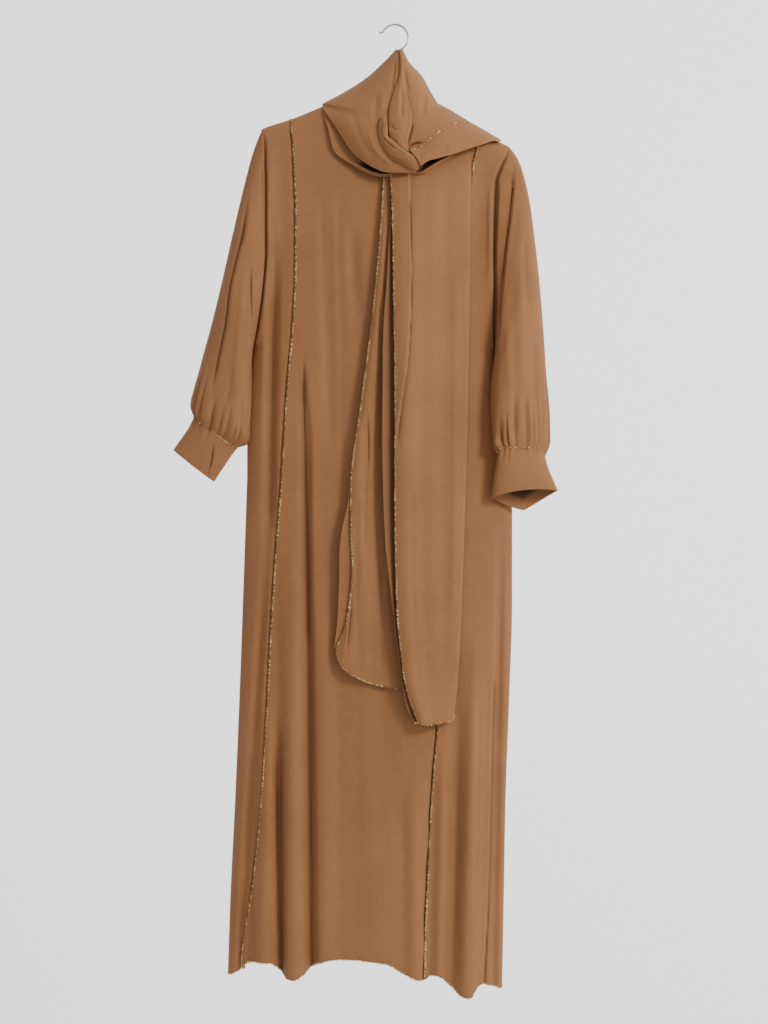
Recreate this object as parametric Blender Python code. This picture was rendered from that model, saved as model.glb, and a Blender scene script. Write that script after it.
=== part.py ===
"""Abaya of plain crepe with its matching shawl, hung on a wire hanger.

Sizes are millimetres until a mesh is made, and the finished objects are in metres.
X runs across the garment, Y from front to back and Z up. Zero is the inside top of the hook,
and a drop is a distance down from it. Every cloth piece is a thin wall, open where it is worn.
"""
import math

import bmesh
import bpy
import numpy as np

# Driving sizes
CLOTH = 1.6
SEAM_GAP = 0.3
SHOULDER_ROUND = 45.0
SIDE_POWER = 0.8
LEFT_UNDERARM_DROP = 540.0
RIGHT_UNDERARM_DROP = 544.0
WIRE_RADIUS = 1.7
HOOK_RADIUS = 22.0
BAR_RADIUS = 5.5
BAR_EASE = 4.5
BAR_CROWN_DROP = 85.0
GATHERS = 11
GATHER_DEPTH = 4.0

# Mesh counts
EDGE_STEPS = (0.0, 3.0, 11.0, 24.0, 45.0)
ARM_ROWS = 7
SKIRT_ROWS = 14
SIDE_COLUMNS = 7
CENTRE_COLUMNS = 20
BACK_COLUMNS = 18
SLEEVE_ROWS = 12
SECTION_STEPS = 2

# Body outline: drop, left edge, right edge, front depth, back depth
BODY = (
    (172, -221, 189, 25, 22),
    (201, -216, 189, 26, 23),
    (240, -215, 175, 28, 24),
    (262, -214, 167, 29, 24),
    (300, -214, 165, 30, 24),
    (374, -214, 164, 31, 24),
    (441, -219, 165, 32, 25),
    (507, -227, 164, 33, 25),
    (542, -232, 162, 33, 25),
    (607, -237, 158, 34, 26),
    (625, -238, 160, 34, 26),
    (650, -240, 165, 34, 26),
    (691, -243, 173, 35, 26),
    (740, -246, 184, 35, 27),
    (809, -248, 195, 36, 27),
    (955, -253, 195, 38, 28),
    (1121, -259, 190, 40, 29),
    (1287, -266, 184, 43, 30),
    (1453, -274, 181, 46, 32),
    (1610, -279, 178, 48, 34),
)

# Armhole edge: drop, depth on the left, depth on the right
ARMHOLE = (
    (172, 14, 14),
    (201, 16, 14),
    (240, 18, 16),
    (330, 21, 20),
    (430, 20, 20),
    (470, 18, 18),
    (508, 15, 15),
    (525, 11.5, 12),
    (534, 8, 9),
    (540, 0, 4.5),
    (544, 0, 0),
)

# Shoulder line: place across, drop
SHOULDER = (
    (-221, 172),
    (-208, 167),
    (-173, 156),
    (-121, 135),
    (-75, 114),
    (95, 149),
    (124, 166),
    (150, 182),
    (176, 195),
    (189, 201),
)

# Neckline: place across, front drop, back drop
NECKLINE = (
    (-76, 114, 114),
    (-68, 150, 120),
    (-45, 184, 128),
    (10, 204, 138),
    (62, 190, 147),
    (88, 172, 150),
    (96, 150, 150),
)

# Full-length seams of the front: drop, left seam, right seam
SEAMS = (
    (150, -175, 140),
    (200, -168, 137),
    (240, -166, 129),
    (308, -163, 124),
    (408, -163, 118),
    (507, -168, 110),
    (623, -178, 102),
    (773, -187, 93),
    (889, -196, 86),
    (1022, -204, 78),
    (1163, -211, 70),
    (1287, -219, 60),
    (1387, -229, 55),
    (1470, -241, 51),
    (1540, -252, 49),
    (1610, -254, 48),
)

# Lines that the columns of the front follow between the seams: drop, left side, left of centre,
# centre fold, right side fold, right edge fold
FOLD_LINES = (
    (150, -199, -160, -132, 154, 172),
    (330, -199, -150, -124, 130, 148),
    (540, -202, -160, -148, 118, 140),
    (680, -204, -167, -147, 112, 144),
    (780, -206, -172, -147, 108, 170),
    (1000, -214, -186, -144, 104, 172),
    (1110, -225, -196, -143, 102, 170),
    (1300, -237, -192, -141, 97, 166),
    (1500, -258, -187, -137, 92, 161),
    (1610, -267, -185, -135, 91, 160),
)
FOLD_COLUMNS = (4, 11, 15, 30, 32)

# Hem: place across, front drop, back drop
HEM = (
    (-279, 1575, 1576),
    (-262, 1568, 1574),
    (-252, 1560, 1568),
    (-245, 1549, 1565),
    (-234, 1545, 1564),
    (-204, 1547, 1564),
    (-191, 1556, 1566),
    (-180, 1569, 1570),
    (-166, 1571, 1572),
    (-149, 1563, 1570),
    (-138, 1554, 1566),
    (-124, 1544, 1563),
    (-100, 1539, 1560),
    (-17, 1545, 1566),
    (13, 1560, 1572),
    (45, 1572, 1572),
    (61, 1565, 1572),
    (75, 1568, 1576),
    (92, 1587, 1586),
    (108, 1600, 1590),
    (122, 1603, 1592),
    (132, 1591, 1592),
    (140, 1583, 1594),
    (161, 1590, 1597),
    (178, 1597, 1598),
)

# Front folds: top place, foot place, start drop, end drop, half width, height forwards
FRONT_FOLDS = (
    (-199, -208, 330, 860, 16, -9),
    (-208, -262, 800, 1640, 12, -10),
    (-204, -222, 1100, 1640, 22, 9),
    (-196, -184, 1110, 1640, 11, -13),
    (-172, -164, 820, 1700, 26, 11),
    (-151, -134, 520, 1700, 15, -13),
    (-118, -112, 860, 1700, 26, 5),
    (-108, -104, 280, 700, 24, -3),
    (-70, -62, 320, 520, 18, -3),
    (-20, -10, 1150, 1700, 60, 5),
    (30, 34, 1180, 1700, 24, 9),
    (66, 58, 1150, 1700, 15, -6),
    (84, 72, 1120, 1700, 18, 7),
    (103, 90, 1090, 1700, 20, -13),
    (132, 116, 980, 1700, 30, 10),
    (176, 158, 780, 1700, 15, -13),
    (158, 156, 262, 430, 8, 3),
)

# Back folds: top place, foot place, start drop, end drop, half width, height backwards
BACK_FOLDS = (
    (-150, -176, 420, 1700, 55, 8),
    (-92, -110, 600, 1700, 50, -10),
    (-30, -48, 360, 1700, 60, 9),
    (34, 22, 620, 1700, 50, -10),
    (96, 90, 420, 1700, 55, 9),
    (140, 140, 760, 1700, 40, -5),
)

# Sleeve and cuff sections, each a share of the way down, then across, drop and depth of the outer
# edge, the same of the inner edge, front bulge, back bulge, front sag, back sag, and for a cuff how
# sharply it is creased along both edges
LEFT_SLEEVE = (
    (0.00, -221, 172, 0, -232.5, 540, 0, 20, 20, 0, 0),
    (0.08, -236, 211, 0, -237, 553, 0, 25, 20, 0, 0),
    (0.20, -254, 280, 0, -241, 576, 0, 31, 22, 0, 0),
    (0.35, -273, 362, 0, -243, 600, 0, 35, 24, 0, 0),
    (0.50, -289, 433, 0, -244.5, 623, 0, 38, 26, 0, 0),
    (0.65, -306, 502, 0, -245.5, 646, 0, 40, 27, 0, 0),
    (0.80, -323, 565, -1, -246.5, 668, -1, 40, 27, 0, 0),
    (0.90, -333, 606, -2, -247.5, 684, -2, 37, 25, 0, 2),
    (0.96, -338, 634, -3, -250, 695, -3, 31, 22, 3, 3),
    (1.00, -333, 651, -4, -262, 701, -4, 24, 18, 4, 3),
)
LEFT_CUFF = (
    (0.00, -333, 651, -4, -262, 701, -4, 24, 18, 4, 3, 0.0),
    (0.35, -342, 668, -4, -273, 718, -4, 23, 18, 4, 3, 0.2),
    (1.00, -368, 706, -4, -300, 759, -4, 18, 17, 1, -1, 0.6),
)
RIGHT_SLEEVE = (
    (0.00, 189, 201, 0, 162.5, 544, 0, 20, 20, 0, 0),
    (0.06, 203, 220, -1, 166, 553, -1, 25, 20, 0, 0),
    (0.12, 213, 247, -2, 166, 566, -3, 29, 20, 0, 0),
    (0.25, 224, 298, -4, 164, 592, -8, 34, 22, 0, 0),
    (0.40, 232, 360, -6, 162.5, 618, -16, 35, 23, 0, 0),
    (0.55, 239, 425, -8, 161.5, 640, -24, 33, 24, 0, 0),
    (0.70, 245, 500, -10, 161, 661, -31, 30, 24, 0, 0),
    (0.82, 250, 580, -12, 161, 680, -35, 28, 24, -2, 0),
    (0.92, 254, 656, -15, 162, 697, -37, 26, 24, -6, 0),
    (0.97, 254, 696, -18, 164, 706, -38, 23, 21, -9, 0),
    (1.00, 246, 719, -21, 169, 711, -38, 19, 18, -10, 2),
)
RIGHT_CUFF = (
    (0.00, 246, 719, -21, 169, 711, -38, 19, 18, -10, 2, 0.0),
    (0.35, 252, 737, -23, 164, 737, -38, 20, 19, -10, 8, 0.4),
    (1.00, 268, 774, -26, 156, 786, -38, 22, 23, -7, 26, 1.0),
)

# Shawl sections, each the across, drop and depth of the outer edge, the same of the inner edge,
# bulge forwards and how far the outer edge rounds away
SHAWL_LEFT = (
    (1, 42, 3, 9, 43, -5, 0, 1.0),
    (-20, 64, 6, 3, 64, -19, 2, 1.0),
    (-47, 89, 8, 1, 94, -32, 4, 1.0),
    (-80, 108, 8, -3, 126, -41, 5, 1.0),
    (-121, 130, 1, -7, 150, -47, 6, 0.9),
    (-116, 143, -25, -10, 170, -53, 6, 0.2),
    (-96, 172, -36, -12, 188, -57, 6, 0.1),
    (-68, 214, -43, -9, 206, -60, 6, 0.1),
    (-26, 241, -50, 4, 216, -62, 4, 0.1),
    (22, 244, -54, 34, 226, -61, 2, 0.1),
)
SHAWL_RIGHT = (
    (15, 44, 3, 11, 44, -6, 0, 1.0),
    (25, 62, 6, 9, 64, -19, 0, 1.0),
    (45, 84, 8, 11, 96, -31, 2, 1.0),
    (58, 107, 8, 15, 132, -40, 3, 1.0),
    (71, 129, 8, 16, 166, -47, 4, 1.0),
    (92, 140, 7, 15, 198, -54, 5, 1.0),
    (112, 152, 5, 38, 206, -54, 5, 0.9),
    (134, 166, 4, 80, 194, -49, 4, 0.8),
)
SHAWL_BAND = (
    (177, 191, 4, 171, 193, -22, 1, 0.5),
    (160, 179, 2, 150, 195, -38, 2, 0.7),
    (136, 163, -13, 125, 204, -47, 4, 0.6),
    (108, 162, -42, 100, 213, -51, 6, 0.3),
    (86, 168, -54, 76, 220, -55, 7, 0.2),
    (62, 182, -61, 56, 224, -59, 7, 0.2),
    (38, 199, -67.5, 38, 227, -64.5, 5, 0.1),
    (18, 206, -70, 22, 228, -67, 2, 0.1),
)
SHAWL_PLEAT = (
    (3, 45, -10, 10, 45, -9, 1, 0.0),
    (-1, 63, -24, 13, 63, -23, 3, 0.0),
    (-4, 94, -37, 18, 97, -36, 5, 0.0),
    (-8, 125, -46, 22, 130, -45, 6, 0.0),
    (-12, 152, -52, 25, 160, -51, 6, 0.0),
    (-15, 174, -58, 25, 182, -58, 5, 0.0),
    (-17, 190, -62, 22, 202, -62, 2, 0.0),
    (-14, 204, -64, 18, 214, -64, 0, 0.0),
)
SHAWL_KNOT = (
    (-20, 150, -50, -14, 151, -53, 1, 0.0),
    (-27, 164, -54.2, -17, 162, -60, 2, 0.0),
    (-32, 180, -57.7, -17, 175, -65, 4, 0.0),
    (-31, 199, -61.2, -11, 186, -69, 5, 0.0),
    (-21, 216, -63.7, 1, 196, -72, 6, 0.0),
    (-5, 229, -65.2, 15, 206, -74, 6, 0.0),
    (12, 238, -65.2, 29, 216, -74, 5, 0.0),
    (29, 242, -63.2, 40, 226, -72, 2, 0.0),
    (43, 240, -63, 46, 234, -67, 0, 0.0),
)

# Lower layer of the shawl: across, drop and lift off the body of the outer edge, then of the inner
SHAWL_UNDER = (
    (-120, 143, 4, -103, 135, 4),
    (-117, 163, 2.6, -92, 148, 3.2),
    (-106, 196, 3, -78, 172, 3),
    (-88, 222, 6, -62, 194, 6),
    (-55, 240, 9, -38, 210, 9),
    (-17, 250, 12, -10, 218, 12),
    (28, 248, 13, 22, 218, 13),
    (58, 237, 12, 46, 212, 12),
    (82, 222, 9, 70, 200, 9),
    (108, 206, 7, 98, 184, 7),
)

# Back of the shawl: left edge across, drop and depth, the same of the right edge, depth behind
SHAWL_BACK = (
    (1, 42, 3, 15, 44, 3, 7),
    (-20, 64, 6, 25, 62, 6, 13),
    (-47, 89, 8, 45, 84, 8, 19),
    (-80, 108, 8, 58, 107, 8, 23),
    (-121, 130, 1, 71, 129, 8, 27),
    (-121, 143, 19, 92, 140, 7, 24),
    (-118, 162, 27, 112, 152, 5, 18),
    (-110, 184, 29, 134, 166, 4, 12),
    (-94, 210, 30, 150, 190, 26, 6),
    (-66, 240, 31, 124, 228, 31, 4),
    (-30, 266, 32, 76, 264, 32, 3),
)

# Tails of the shawl: drop, left edge, right edge, then lift off the body at the left edge, the
# left ridge, the middle and the right edge
LEFT_TAIL = (
    (222, -12, 30, 2.1, 2.1, 2.1, 2.1),
    (251, -17, 30, 4, 4, 3, 3),
    (330, -22, 28, 6, 10, 4, 4),
    (457, -33, 24, 6, 14, 5, 4),
    (557, -45, 22, 6, 16, 6, 4),
    (640, -56, 22, 6, 17, 7, 4),
    (773, -73, 22, 6, 18, 8, 4),
    (889, -90, 26, 6, 18, 8, 4),
    (980, -94, 30, 6, 18, 8, 4),
    (1055, -102, 34, 8, 18, 8, 4),
    (1110, -104, 40, 8, 16, 8, 4),
)
RIGHT_TAIL = (
    (200, 4, 124, 7, 9, 4.5, 2.1),
    (251, -7, 126, 9, 10, 8, 3),
    (330, -4, 126, 13, 20, 12, 5),
    (457, -2, 124, 15, 25, 14, 6),
    (623, 0, 121, 19, 28, 15, 6),
    (789, 0, 116, 21, 28, 16, 6),
    (955, 3, 110, 22, 28, 16, 6),
    (1072, 14, 104, 20, 26, 16, 6),
    (1158, 38, 96, 16, 22, 14, 6),
)

# Feet of the tails: share across, rise above the last row
LEFT_TAIL_FOOT = ((0.0, 60), (0.06, 42), (0.18, 26), (0.35, 14), (0.6, 6), (1.0, 0))
RIGHT_TAIL_FOOT = ((0.0, 4), (0.3, 0), (0.7, 2), (1.0, 6))

# Finishes: base colour, roughness, metallic
FINISHES = {
    "camel_crepe": ((0.318, 0.162, 0.076), 0.78, 0.0),
    "polished_wire": ((0.62, 0.62, 0.64), 0.22, 1.0),
    "bar_plastic": ((0.10, 0.09, 0.085), 0.5, 0.0),
}


def track(rows, column):
    """Smooth reading of one column of a table against its first, without overshoot."""
    key = np.array([row[0] for row in rows], float)
    value = np.array([row[column] for row in rows], float)
    step = np.diff(key)
    slope = np.diff(value) / step
    rate = np.zeros_like(value)
    rate[0] = slope[0]
    rate[-1] = slope[-1]
    product = slope[:-1] * slope[1:]
    total = np.where(np.abs(slope[:-1] + slope[1:]) < 1e-9, 1e-9, slope[:-1] + slope[1:])
    rate[1:-1] = np.where(product > 0, 2 * product / total, 0.0)

    def reading(at):
        at = np.clip(np.asarray(at, float), key[0], key[-1])
        index = np.clip(np.searchsorted(key, at) - 1, 0, len(step) - 1)
        part = (at - key[index]) / step[index]
        rest = 1 - part
        ends = value[index] * rest ** 2 * (1 + 2 * part) + value[index + 1] * part ** 2 * (3 - 2 * part)
        return ends + step[index] * part * rest * (rate[index] * rest - rate[index + 1] * part)

    return reading


def eased(low, high, at):
    """Soft step from 0 at low to 1 at high."""
    part = np.clip((np.asarray(at, float) - low) / (high - low), 0, 1)
    return part * part * (3 - 2 * part)


def spread(table, corners=()):
    """Rows of a table with smooth steps between them, and a corner at the named rows."""
    rows = np.array(table, float)
    ends = (0, *corners, len(rows) - 1)
    parts = [rows[:1]]
    for first, last in zip(ends[:-1], ends[1:]):
        part = rows[first:last + 1]
        padded = np.vstack([2 * part[0] - part[1], part, 2 * part[-1] - part[-2]])
        for index in range(last - first):
            before, start, end, after = padded[index:index + 4]
            for step in range(1, SECTION_STEPS + 1):
                at = step / SECTION_STEPS
                bend = 2 * before - 5 * start + 4 * end - after
                turn = 3 * start - before - 3 * end + after
                parts.append([start + 0.5 * at * (end - before + at * (bend + at * turn))])
    return np.vstack(parts)


LEFT_EDGE, RIGHT_EDGE, FRONT_DEPTH, BACK_DEPTH = (track(BODY, column) for column in range(1, 5))
LEFT_ARMHOLE, RIGHT_ARMHOLE = (track(ARMHOLE, column) for column in (1, 2))
SHOULDER_LINE = track(SHOULDER, 1)


def fold_height(folds, across, drop):
    """Sum of the folds of a table at places on the body."""
    total = np.zeros(np.broadcast(across, drop).shape)
    for top, foot, start, end, half, height in folds:
        share = np.clip((drop - start) / (end - start), 0, 1)
        place = top + (foot - top) * share
        reach = np.clip(np.abs(across - place) / half, 0, 1)
        swell = eased(start, start + 0.3 * (end - start), drop) * (1 - eased(end - 60, end, drop))
        total = total + height * swell * 0.5 * (1 + np.cos(math.pi * reach))
    return total


def body_depth(across, drop, side):
    """Y of the body wall at places across and down, on the front (-1) or the back (1)."""
    left = LEFT_EDGE(drop)
    right = RIGHT_EDGE(drop)
    share = np.clip((across - left) / (right - left), 0, 1)
    swell = (1 - np.abs(2 * share - 1) ** (2 / SIDE_POWER)) ** (SIDE_POWER / 2)
    edge = np.where(share < 0.5, LEFT_ARMHOLE(drop), RIGHT_ARMHOLE(drop))
    edge = edge * np.exp(-(np.minimum(share, 1 - share) / 0.07) ** 2)
    full = FRONT_DEPTH(drop) if side < 0 else BACK_DEPTH(drop)
    depth = np.sqrt(edge ** 2 + (full ** 2 - edge ** 2) * swell ** 2)
    fall = np.clip((drop - SHOULDER_LINE(across)) / SHOULDER_ROUND, 0, 1)
    depth = depth * np.sqrt(np.clip(1 - (1 - fall) ** 2, 0, 1))
    folds = FRONT_FOLDS if side < 0 else BACK_FOLDS
    depth = depth + fold_height(folds, across, drop) * np.clip(1.6 * swell, 0, 1)
    return side * depth


def turn_of(across, drop):
    """Angle round the body of a place on its front, from 0 at the left edge to pi."""
    share = (across - LEFT_EDGE(drop)) / (RIGHT_EDGE(drop) - LEFT_EDGE(drop))
    lean = np.clip(1 - 2 * share, -1, 1)
    return np.arccos(np.sign(lean) * np.abs(lean) ** (1 / SIDE_POWER))


def place_at(turn, drop):
    """Place across of an angle round the body."""
    lean = np.sign(np.cos(turn)) * np.abs(np.cos(turn)) ** SIDE_POWER
    return LEFT_EDGE(drop) + (RIGHT_EDGE(drop) - LEFT_EDGE(drop)) * (1 - lean) / 2


def body_rows(across, drop, side):
    """Drops of every row under its own stretch of shoulder or neckline, down to the hem."""
    column = 1 if side < 0 else 2
    top = SHOULDER_LINE(across)
    neck = (across > NECKLINE[0][0]) & (across < NECKLINE[-1][0])
    top = np.where(neck, track(NECKLINE, column)(across), top)
    foot = track(HEM, column)(across)
    share = np.clip((across + 221) / 410, 0, 1)
    arm = LEFT_UNDERARM_DROP + (RIGHT_UNDERARM_DROP - LEFT_UNDERARM_DROP) * share
    last = len(EDGE_STEPS) - 1
    rows = []
    for index in range(drop.shape[0]):
        if index <= last:
            rows.append(top[index] + EDGE_STEPS[index])
        elif index <= last + ARM_ROWS:
            part = math.sin(math.pi / 2 * (index - last) / ARM_ROWS)
            rows.append((top[index] + EDGE_STEPS[-1]) * (1 - part) + arm[index] * part)
        else:
            part = (index - last - ARM_ROWS) / SKIRT_ROWS
            rows.append(arm[index] * (1 - part) + foot[index] * part)
    return np.array(rows)


def front_turns(drop):
    """Angle of every front column, spread evenly between the seams and fold lines."""
    seams = (SIDE_COLUMNS, SIDE_COLUMNS + CENTRE_COLUMNS)
    lines = {0: np.zeros(drop.shape[0]), drop.shape[1] - 1: np.full(drop.shape[0], math.pi)}
    for number, column in enumerate(seams):
        lines[column] = turn_of(track(SEAMS, number + 1)(drop[:, column]), drop[:, column])
    for number, column in enumerate(FOLD_COLUMNS):
        lines[column] = turn_of(track(FOLD_LINES, number + 1)(drop[:, column]), drop[:, column])
    guides = sorted(lines)
    turns = np.zeros(drop.shape)
    for first, last in zip(guides[:-1], guides[1:]):
        share = np.linspace(0, 1, last - first + 1)[None, :]
        turns[:, first:last + 1] = lines[first][:, None] * (1 - share) + lines[last][:, None] * share
    return turns


def body_grid(side):
    """Points of the whole front, or of the whole back, row by row from left to right."""
    count = len(EDGE_STEPS) + ARM_ROWS + SKIRT_ROWS
    columns = 2 * SIDE_COLUMNS + CENTRE_COLUMNS + 1 if side < 0 else BACK_COLUMNS + 1
    drop = np.linspace(172, 1580, count)[:, None] * np.ones((1, columns))
    for _ in range(8):
        if side < 0:
            across = place_at(front_turns(drop), drop)
        else:
            across = place_at(np.linspace(0, math.pi, columns)[None, :], drop)
        drop = body_rows(across, drop, side)
    return np.stack([across, body_depth(across, drop, side), -drop], axis=2)


def normals_of(grid, closed, flip):
    """Unit normals of a grid, one-sided at its free edges."""
    down = np.gradient(grid, axis=0)
    if closed:
        along = np.roll(grid, -1, axis=1) - np.roll(grid, 1, axis=1)
    else:
        along = np.gradient(grid, axis=1)
    normal = np.cross(down, along) * flip
    return normal / np.maximum(np.linalg.norm(normal, axis=2, keepdims=True), 1e-9)


def level(normal, rows, columns):
    """Turn the normals of an edge square to the seam plane, so that two walls meet flush."""
    normal[rows, columns, 1] = 0
    length = np.linalg.norm(normal[rows, columns], axis=-1, keepdims=True)
    normal[rows, columns] = normal[rows, columns] / np.maximum(length, 1e-9)


def drawn_in(grid, edges):
    """Move the named edges of a grid back by half a seam gap."""
    moved = grid.copy()
    pairs = {"left": ((slice(None), 0), (slice(None), 1)), "right": ((slice(None), -1), (slice(None), -2)),
             "top": ((0, slice(None)), (1, slice(None))), "foot": ((-1, slice(None)), (-2, slice(None)))}
    for edge in edges:
        here, inside = pairs[edge]
        way = grid[inside] - grid[here]
        moved[here] = moved[here] + way / np.linalg.norm(way, axis=-1, keepdims=True) * SEAM_GAP / 2
    return moved


def new_object(name, vertices, faces, finish, collection):
    """Closed mesh object in metres, facing outwards, with its own material."""
    mesh = bpy.data.meshes.new(name)
    mesh.from_pydata([tuple(point) for point in np.asarray(vertices) / 1000.0], [], faces)
    work = bmesh.new()
    work.from_mesh(mesh)
    bmesh.ops.remove_doubles(work, verts=work.verts, dist=1e-6)
    bmesh.ops.triangulate(work, faces=work.faces)
    if work.calc_volume(signed=True) < 0:
        bmesh.ops.reverse_faces(work, faces=work.faces)
    work.to_mesh(mesh)
    work.free()
    mesh.materials.append(material_for(name, finish))
    thing = bpy.data.objects.new(name, mesh)
    collection.objects.link(thing)
    return thing


def material_for(name, finish):
    """Material of one piece, from the table of finishes."""
    colour, roughness, metallic = FINISHES[finish]
    material = bpy.data.materials.new(name)
    material.use_nodes = True
    shader = material.node_tree.nodes["Principled BSDF"]
    shader.inputs["Base Color"].default_value = (*colour, 1.0)
    shader.inputs["Roughness"].default_value = roughness
    shader.inputs["Metallic"].default_value = metallic
    material.diffuse_color = (*colour, 1.0)
    return material


def wall(name, outer, normal, collection, closed=False, side=0):
    """Thin closed wall with the given outer points, thickened inwards on its side of the seams."""
    rows, columns = outer.shape[:2]
    inner = outer - CLOTH * normal
    if side:
        inner[:, :, 1] = side * np.maximum(side * inner[:, :, 1], SEAM_GAP / 2)
    vertices = np.vstack([outer.reshape(-1, 3), inner.reshape(-1, 3)])
    offset = rows * columns
    last = columns if closed else columns - 1
    faces = []
    for row in range(rows - 1):
        for column in range(last):
            after = (column + 1) % columns
            here, beside = row * columns + column, row * columns + after
            below, across = here + columns, beside + columns
            faces.append((here, beside, across, below))
            faces.append((offset + here, offset + below, offset + across, offset + beside))
    for column in range(last):
        after = (column + 1) % columns
        foot = (rows - 1) * columns
        faces.append((column, offset + column, offset + after, after))
        faces.append((foot + column, foot + after, offset + foot + after, offset + foot + column))
    if not closed:
        for row in range(rows - 1):
            here, below = row * columns, (row + 1) * columns
            faces.append((here, below, offset + below, offset + here))
            here, below = here + columns - 1, below + columns - 1
            faces.append((here, offset + here, offset + below, below))
    return new_object(name, vertices, faces, "camel_crepe", collection)


def rod(name, path, radii, fineness, finish, collection):
    """Round bar along a path in the plane of the garment, as a curve with filled ends."""
    curve = bpy.data.curves.new(name, "CURVE")
    curve.dimensions = "3D"
    curve.bevel_depth = max(radii) / 1000.0
    curve.bevel_resolution = fineness
    curve.use_fill_caps = True
    line = curve.splines.new("POLY")
    line.points.add(len(path) - 1)
    for point, place, radius in zip(line.points, path, radii):
        point.co = (*(value / 1000.0 for value in place), 1.0)
        point.radius = radius / max(radii)
    curve.materials.append(material_for(name, finish))
    collection.objects.link(bpy.data.objects.new(name, curve))


def make_body(collection):
    """Front centre, two front sides and the back; returns the armhole edges for the sleeves."""
    front = body_grid(-1)
    back = body_grid(1)
    front_normal = normals_of(front, False, 1)
    back_normal = normals_of(back, False, -1)
    underarm = len(EDGE_STEPS) - 1 + ARM_ROWS
    for normal in (front_normal, back_normal):
        level(normal, slice(underarm, None), 0)
        level(normal, slice(underarm, None), -1)
        level(normal, 0, slice(None))
    neck = (front[0, :, 0] > NECKLINE[0][0]) & (front[0, :, 0] < NECKLINE[-1][0])
    front_normal[0, neck] = front_normal[1, neck]
    seam_left = SIDE_COLUMNS
    seam_right = SIDE_COLUMNS + CENTRE_COLUMNS
    panels = (
        ("front_side_left", 0, seam_left),
        ("front_centre", seam_left, seam_right),
        ("front_side_right", seam_right, front.shape[1] - 1),
    )
    for name, first, last in panels:
        part = slice(first, last + 1)
        grid = drawn_in(front[:, part], ("left", "right", "top"))
        wall(name, grid, front_normal[:, part], collection, side=-1)
    wall("back_panel", drawn_in(back, ("left", "right", "top")), back_normal, collection, side=1)
    loops = {}
    for name, column in (("left", 0), ("right", -1)):
        rows = slice(0, underarm + 1)
        loop = np.vstack([front[rows, column], back[rows, column][-2:0:-1]])
        normal = np.vstack([front_normal[rows, column], back_normal[rows, column][-2:0:-1]])
        loops[name] = (doubled(loop), doubled(normal))
    return loops


def doubled(loop):
    """Closed loop with a further point half way along each side."""
    middle = 0.5 * (loop + np.roll(loop, -1, axis=0))
    return np.stack([loop, middle], axis=1).reshape(-1, loop.shape[1])


def ring_points(section, turns, taper):
    """One ring of a sleeve or cuff at the given turns, where 0 is its outer edge.

    The taper, from 0 to 1, flattens its back towards the inner edge.
    """
    outer, inner = np.array(section[0:3]), np.array(section[3:6])
    front, back, front_sag, back_sag = section[6:10]
    crease = section[10] if len(section) > 10 else 0.0
    lean = np.cos(turns)
    reach = (1 + np.sign(lean) * np.abs(lean) ** SIDE_POWER) / 2
    before = np.sin(turns) > 0
    swell = np.abs(np.sin(turns)) ** SIDE_POWER
    pointed = 1 - np.abs(2 * reach - 1) ** np.where(before, 2.0, 1.15)
    dip = swell * (1 - crease) + pointed * crease
    swell = swell * (1 - crease) + (1 - (2 * reach - 1) ** 2) ** 0.5 * crease
    base = inner + (outer - inner) * reach[:, None]
    back_swell = swell * (1 - 0.65 * taper * (1 - reach))
    depth = np.where(before, -front * swell, back * back_swell)
    sag = np.where(before, front_sag, back_sag) * dip
    return np.stack([base[:, 0], base[:, 2] + depth, -(base[:, 1] + sag)], axis=1)


def make_sleeve(side, sleeve, cuff, loop, loop_normal, collection):
    """Sleeve from the armhole loop to the cuff, and the cuff that flares from it."""
    points = len(loop)
    flip = 1 if side == "left" else -1
    even = 2 * math.pi * np.arange(points) / points
    ahead = np.abs(loop[:, 2] - loop[0, 2]) / np.abs(loop[points // 2, 2] - loop[0, 2])
    armed = np.where(np.arange(points) <= points // 2, ahead, 2 - ahead) * math.pi
    columns = [track(sleeve, column) for column in range(1, len(sleeve[0]))]
    rings = []
    for at in np.linspace(0, 1, SLEEVE_ROWS):
        blend = eased(0.0, 0.4, at)
        turns = armed * (1 - blend) + even * blend
        ring = ring_points([column(at) for column in columns], turns, eased(0.3, 0.9, at))
        if at == 0:
            first_error = loop - ring
        ring = ring + first_error * np.clip(1 - at / 0.4, 0, 1) ** 2
        centre = ring.mean(axis=0)
        gather = GATHER_DEPTH * eased(0.72, 0.93, at) * (1 - eased(0.955, 1.0, at))
        way = ring - centre
        way = way / np.maximum(np.linalg.norm(way, axis=1, keepdims=True), 1e-9)
        gather = gather * np.sqrt(np.abs(np.sin(even)))
        rings.append(ring + way * (gather * np.cos(GATHERS * even))[:, None])
    cuff_columns = [track(cuff, column) for column in range(1, len(cuff[0]))]
    for at in (0.34, 0.67, 1.0):
        rings.append(ring_points([column(at) for column in cuff_columns], even, 1.0))
    grid = np.array(rings)
    normal = normals_of(grid, True, flip)
    own = eased(0.9, 0.99, np.where(ahead > 1, 2 - ahead, ahead))[:, None]
    normal[0] = loop_normal * (1 - own) + normal[0] * own
    normal[0] = normal[0] / np.linalg.norm(normal[0], axis=1, keepdims=True)
    top = drawn_in(grid[:SLEEVE_ROWS], ("top", "foot"))
    wall("sleeve_" + side, top, normal[:SLEEVE_ROWS], collection, closed=True)
    low = drawn_in(grid[SLEEVE_ROWS - 1:], ("top",))
    wall("cuff_" + side, low, normal[SLEEVE_ROWS - 1:], collection, closed=True)


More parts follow.
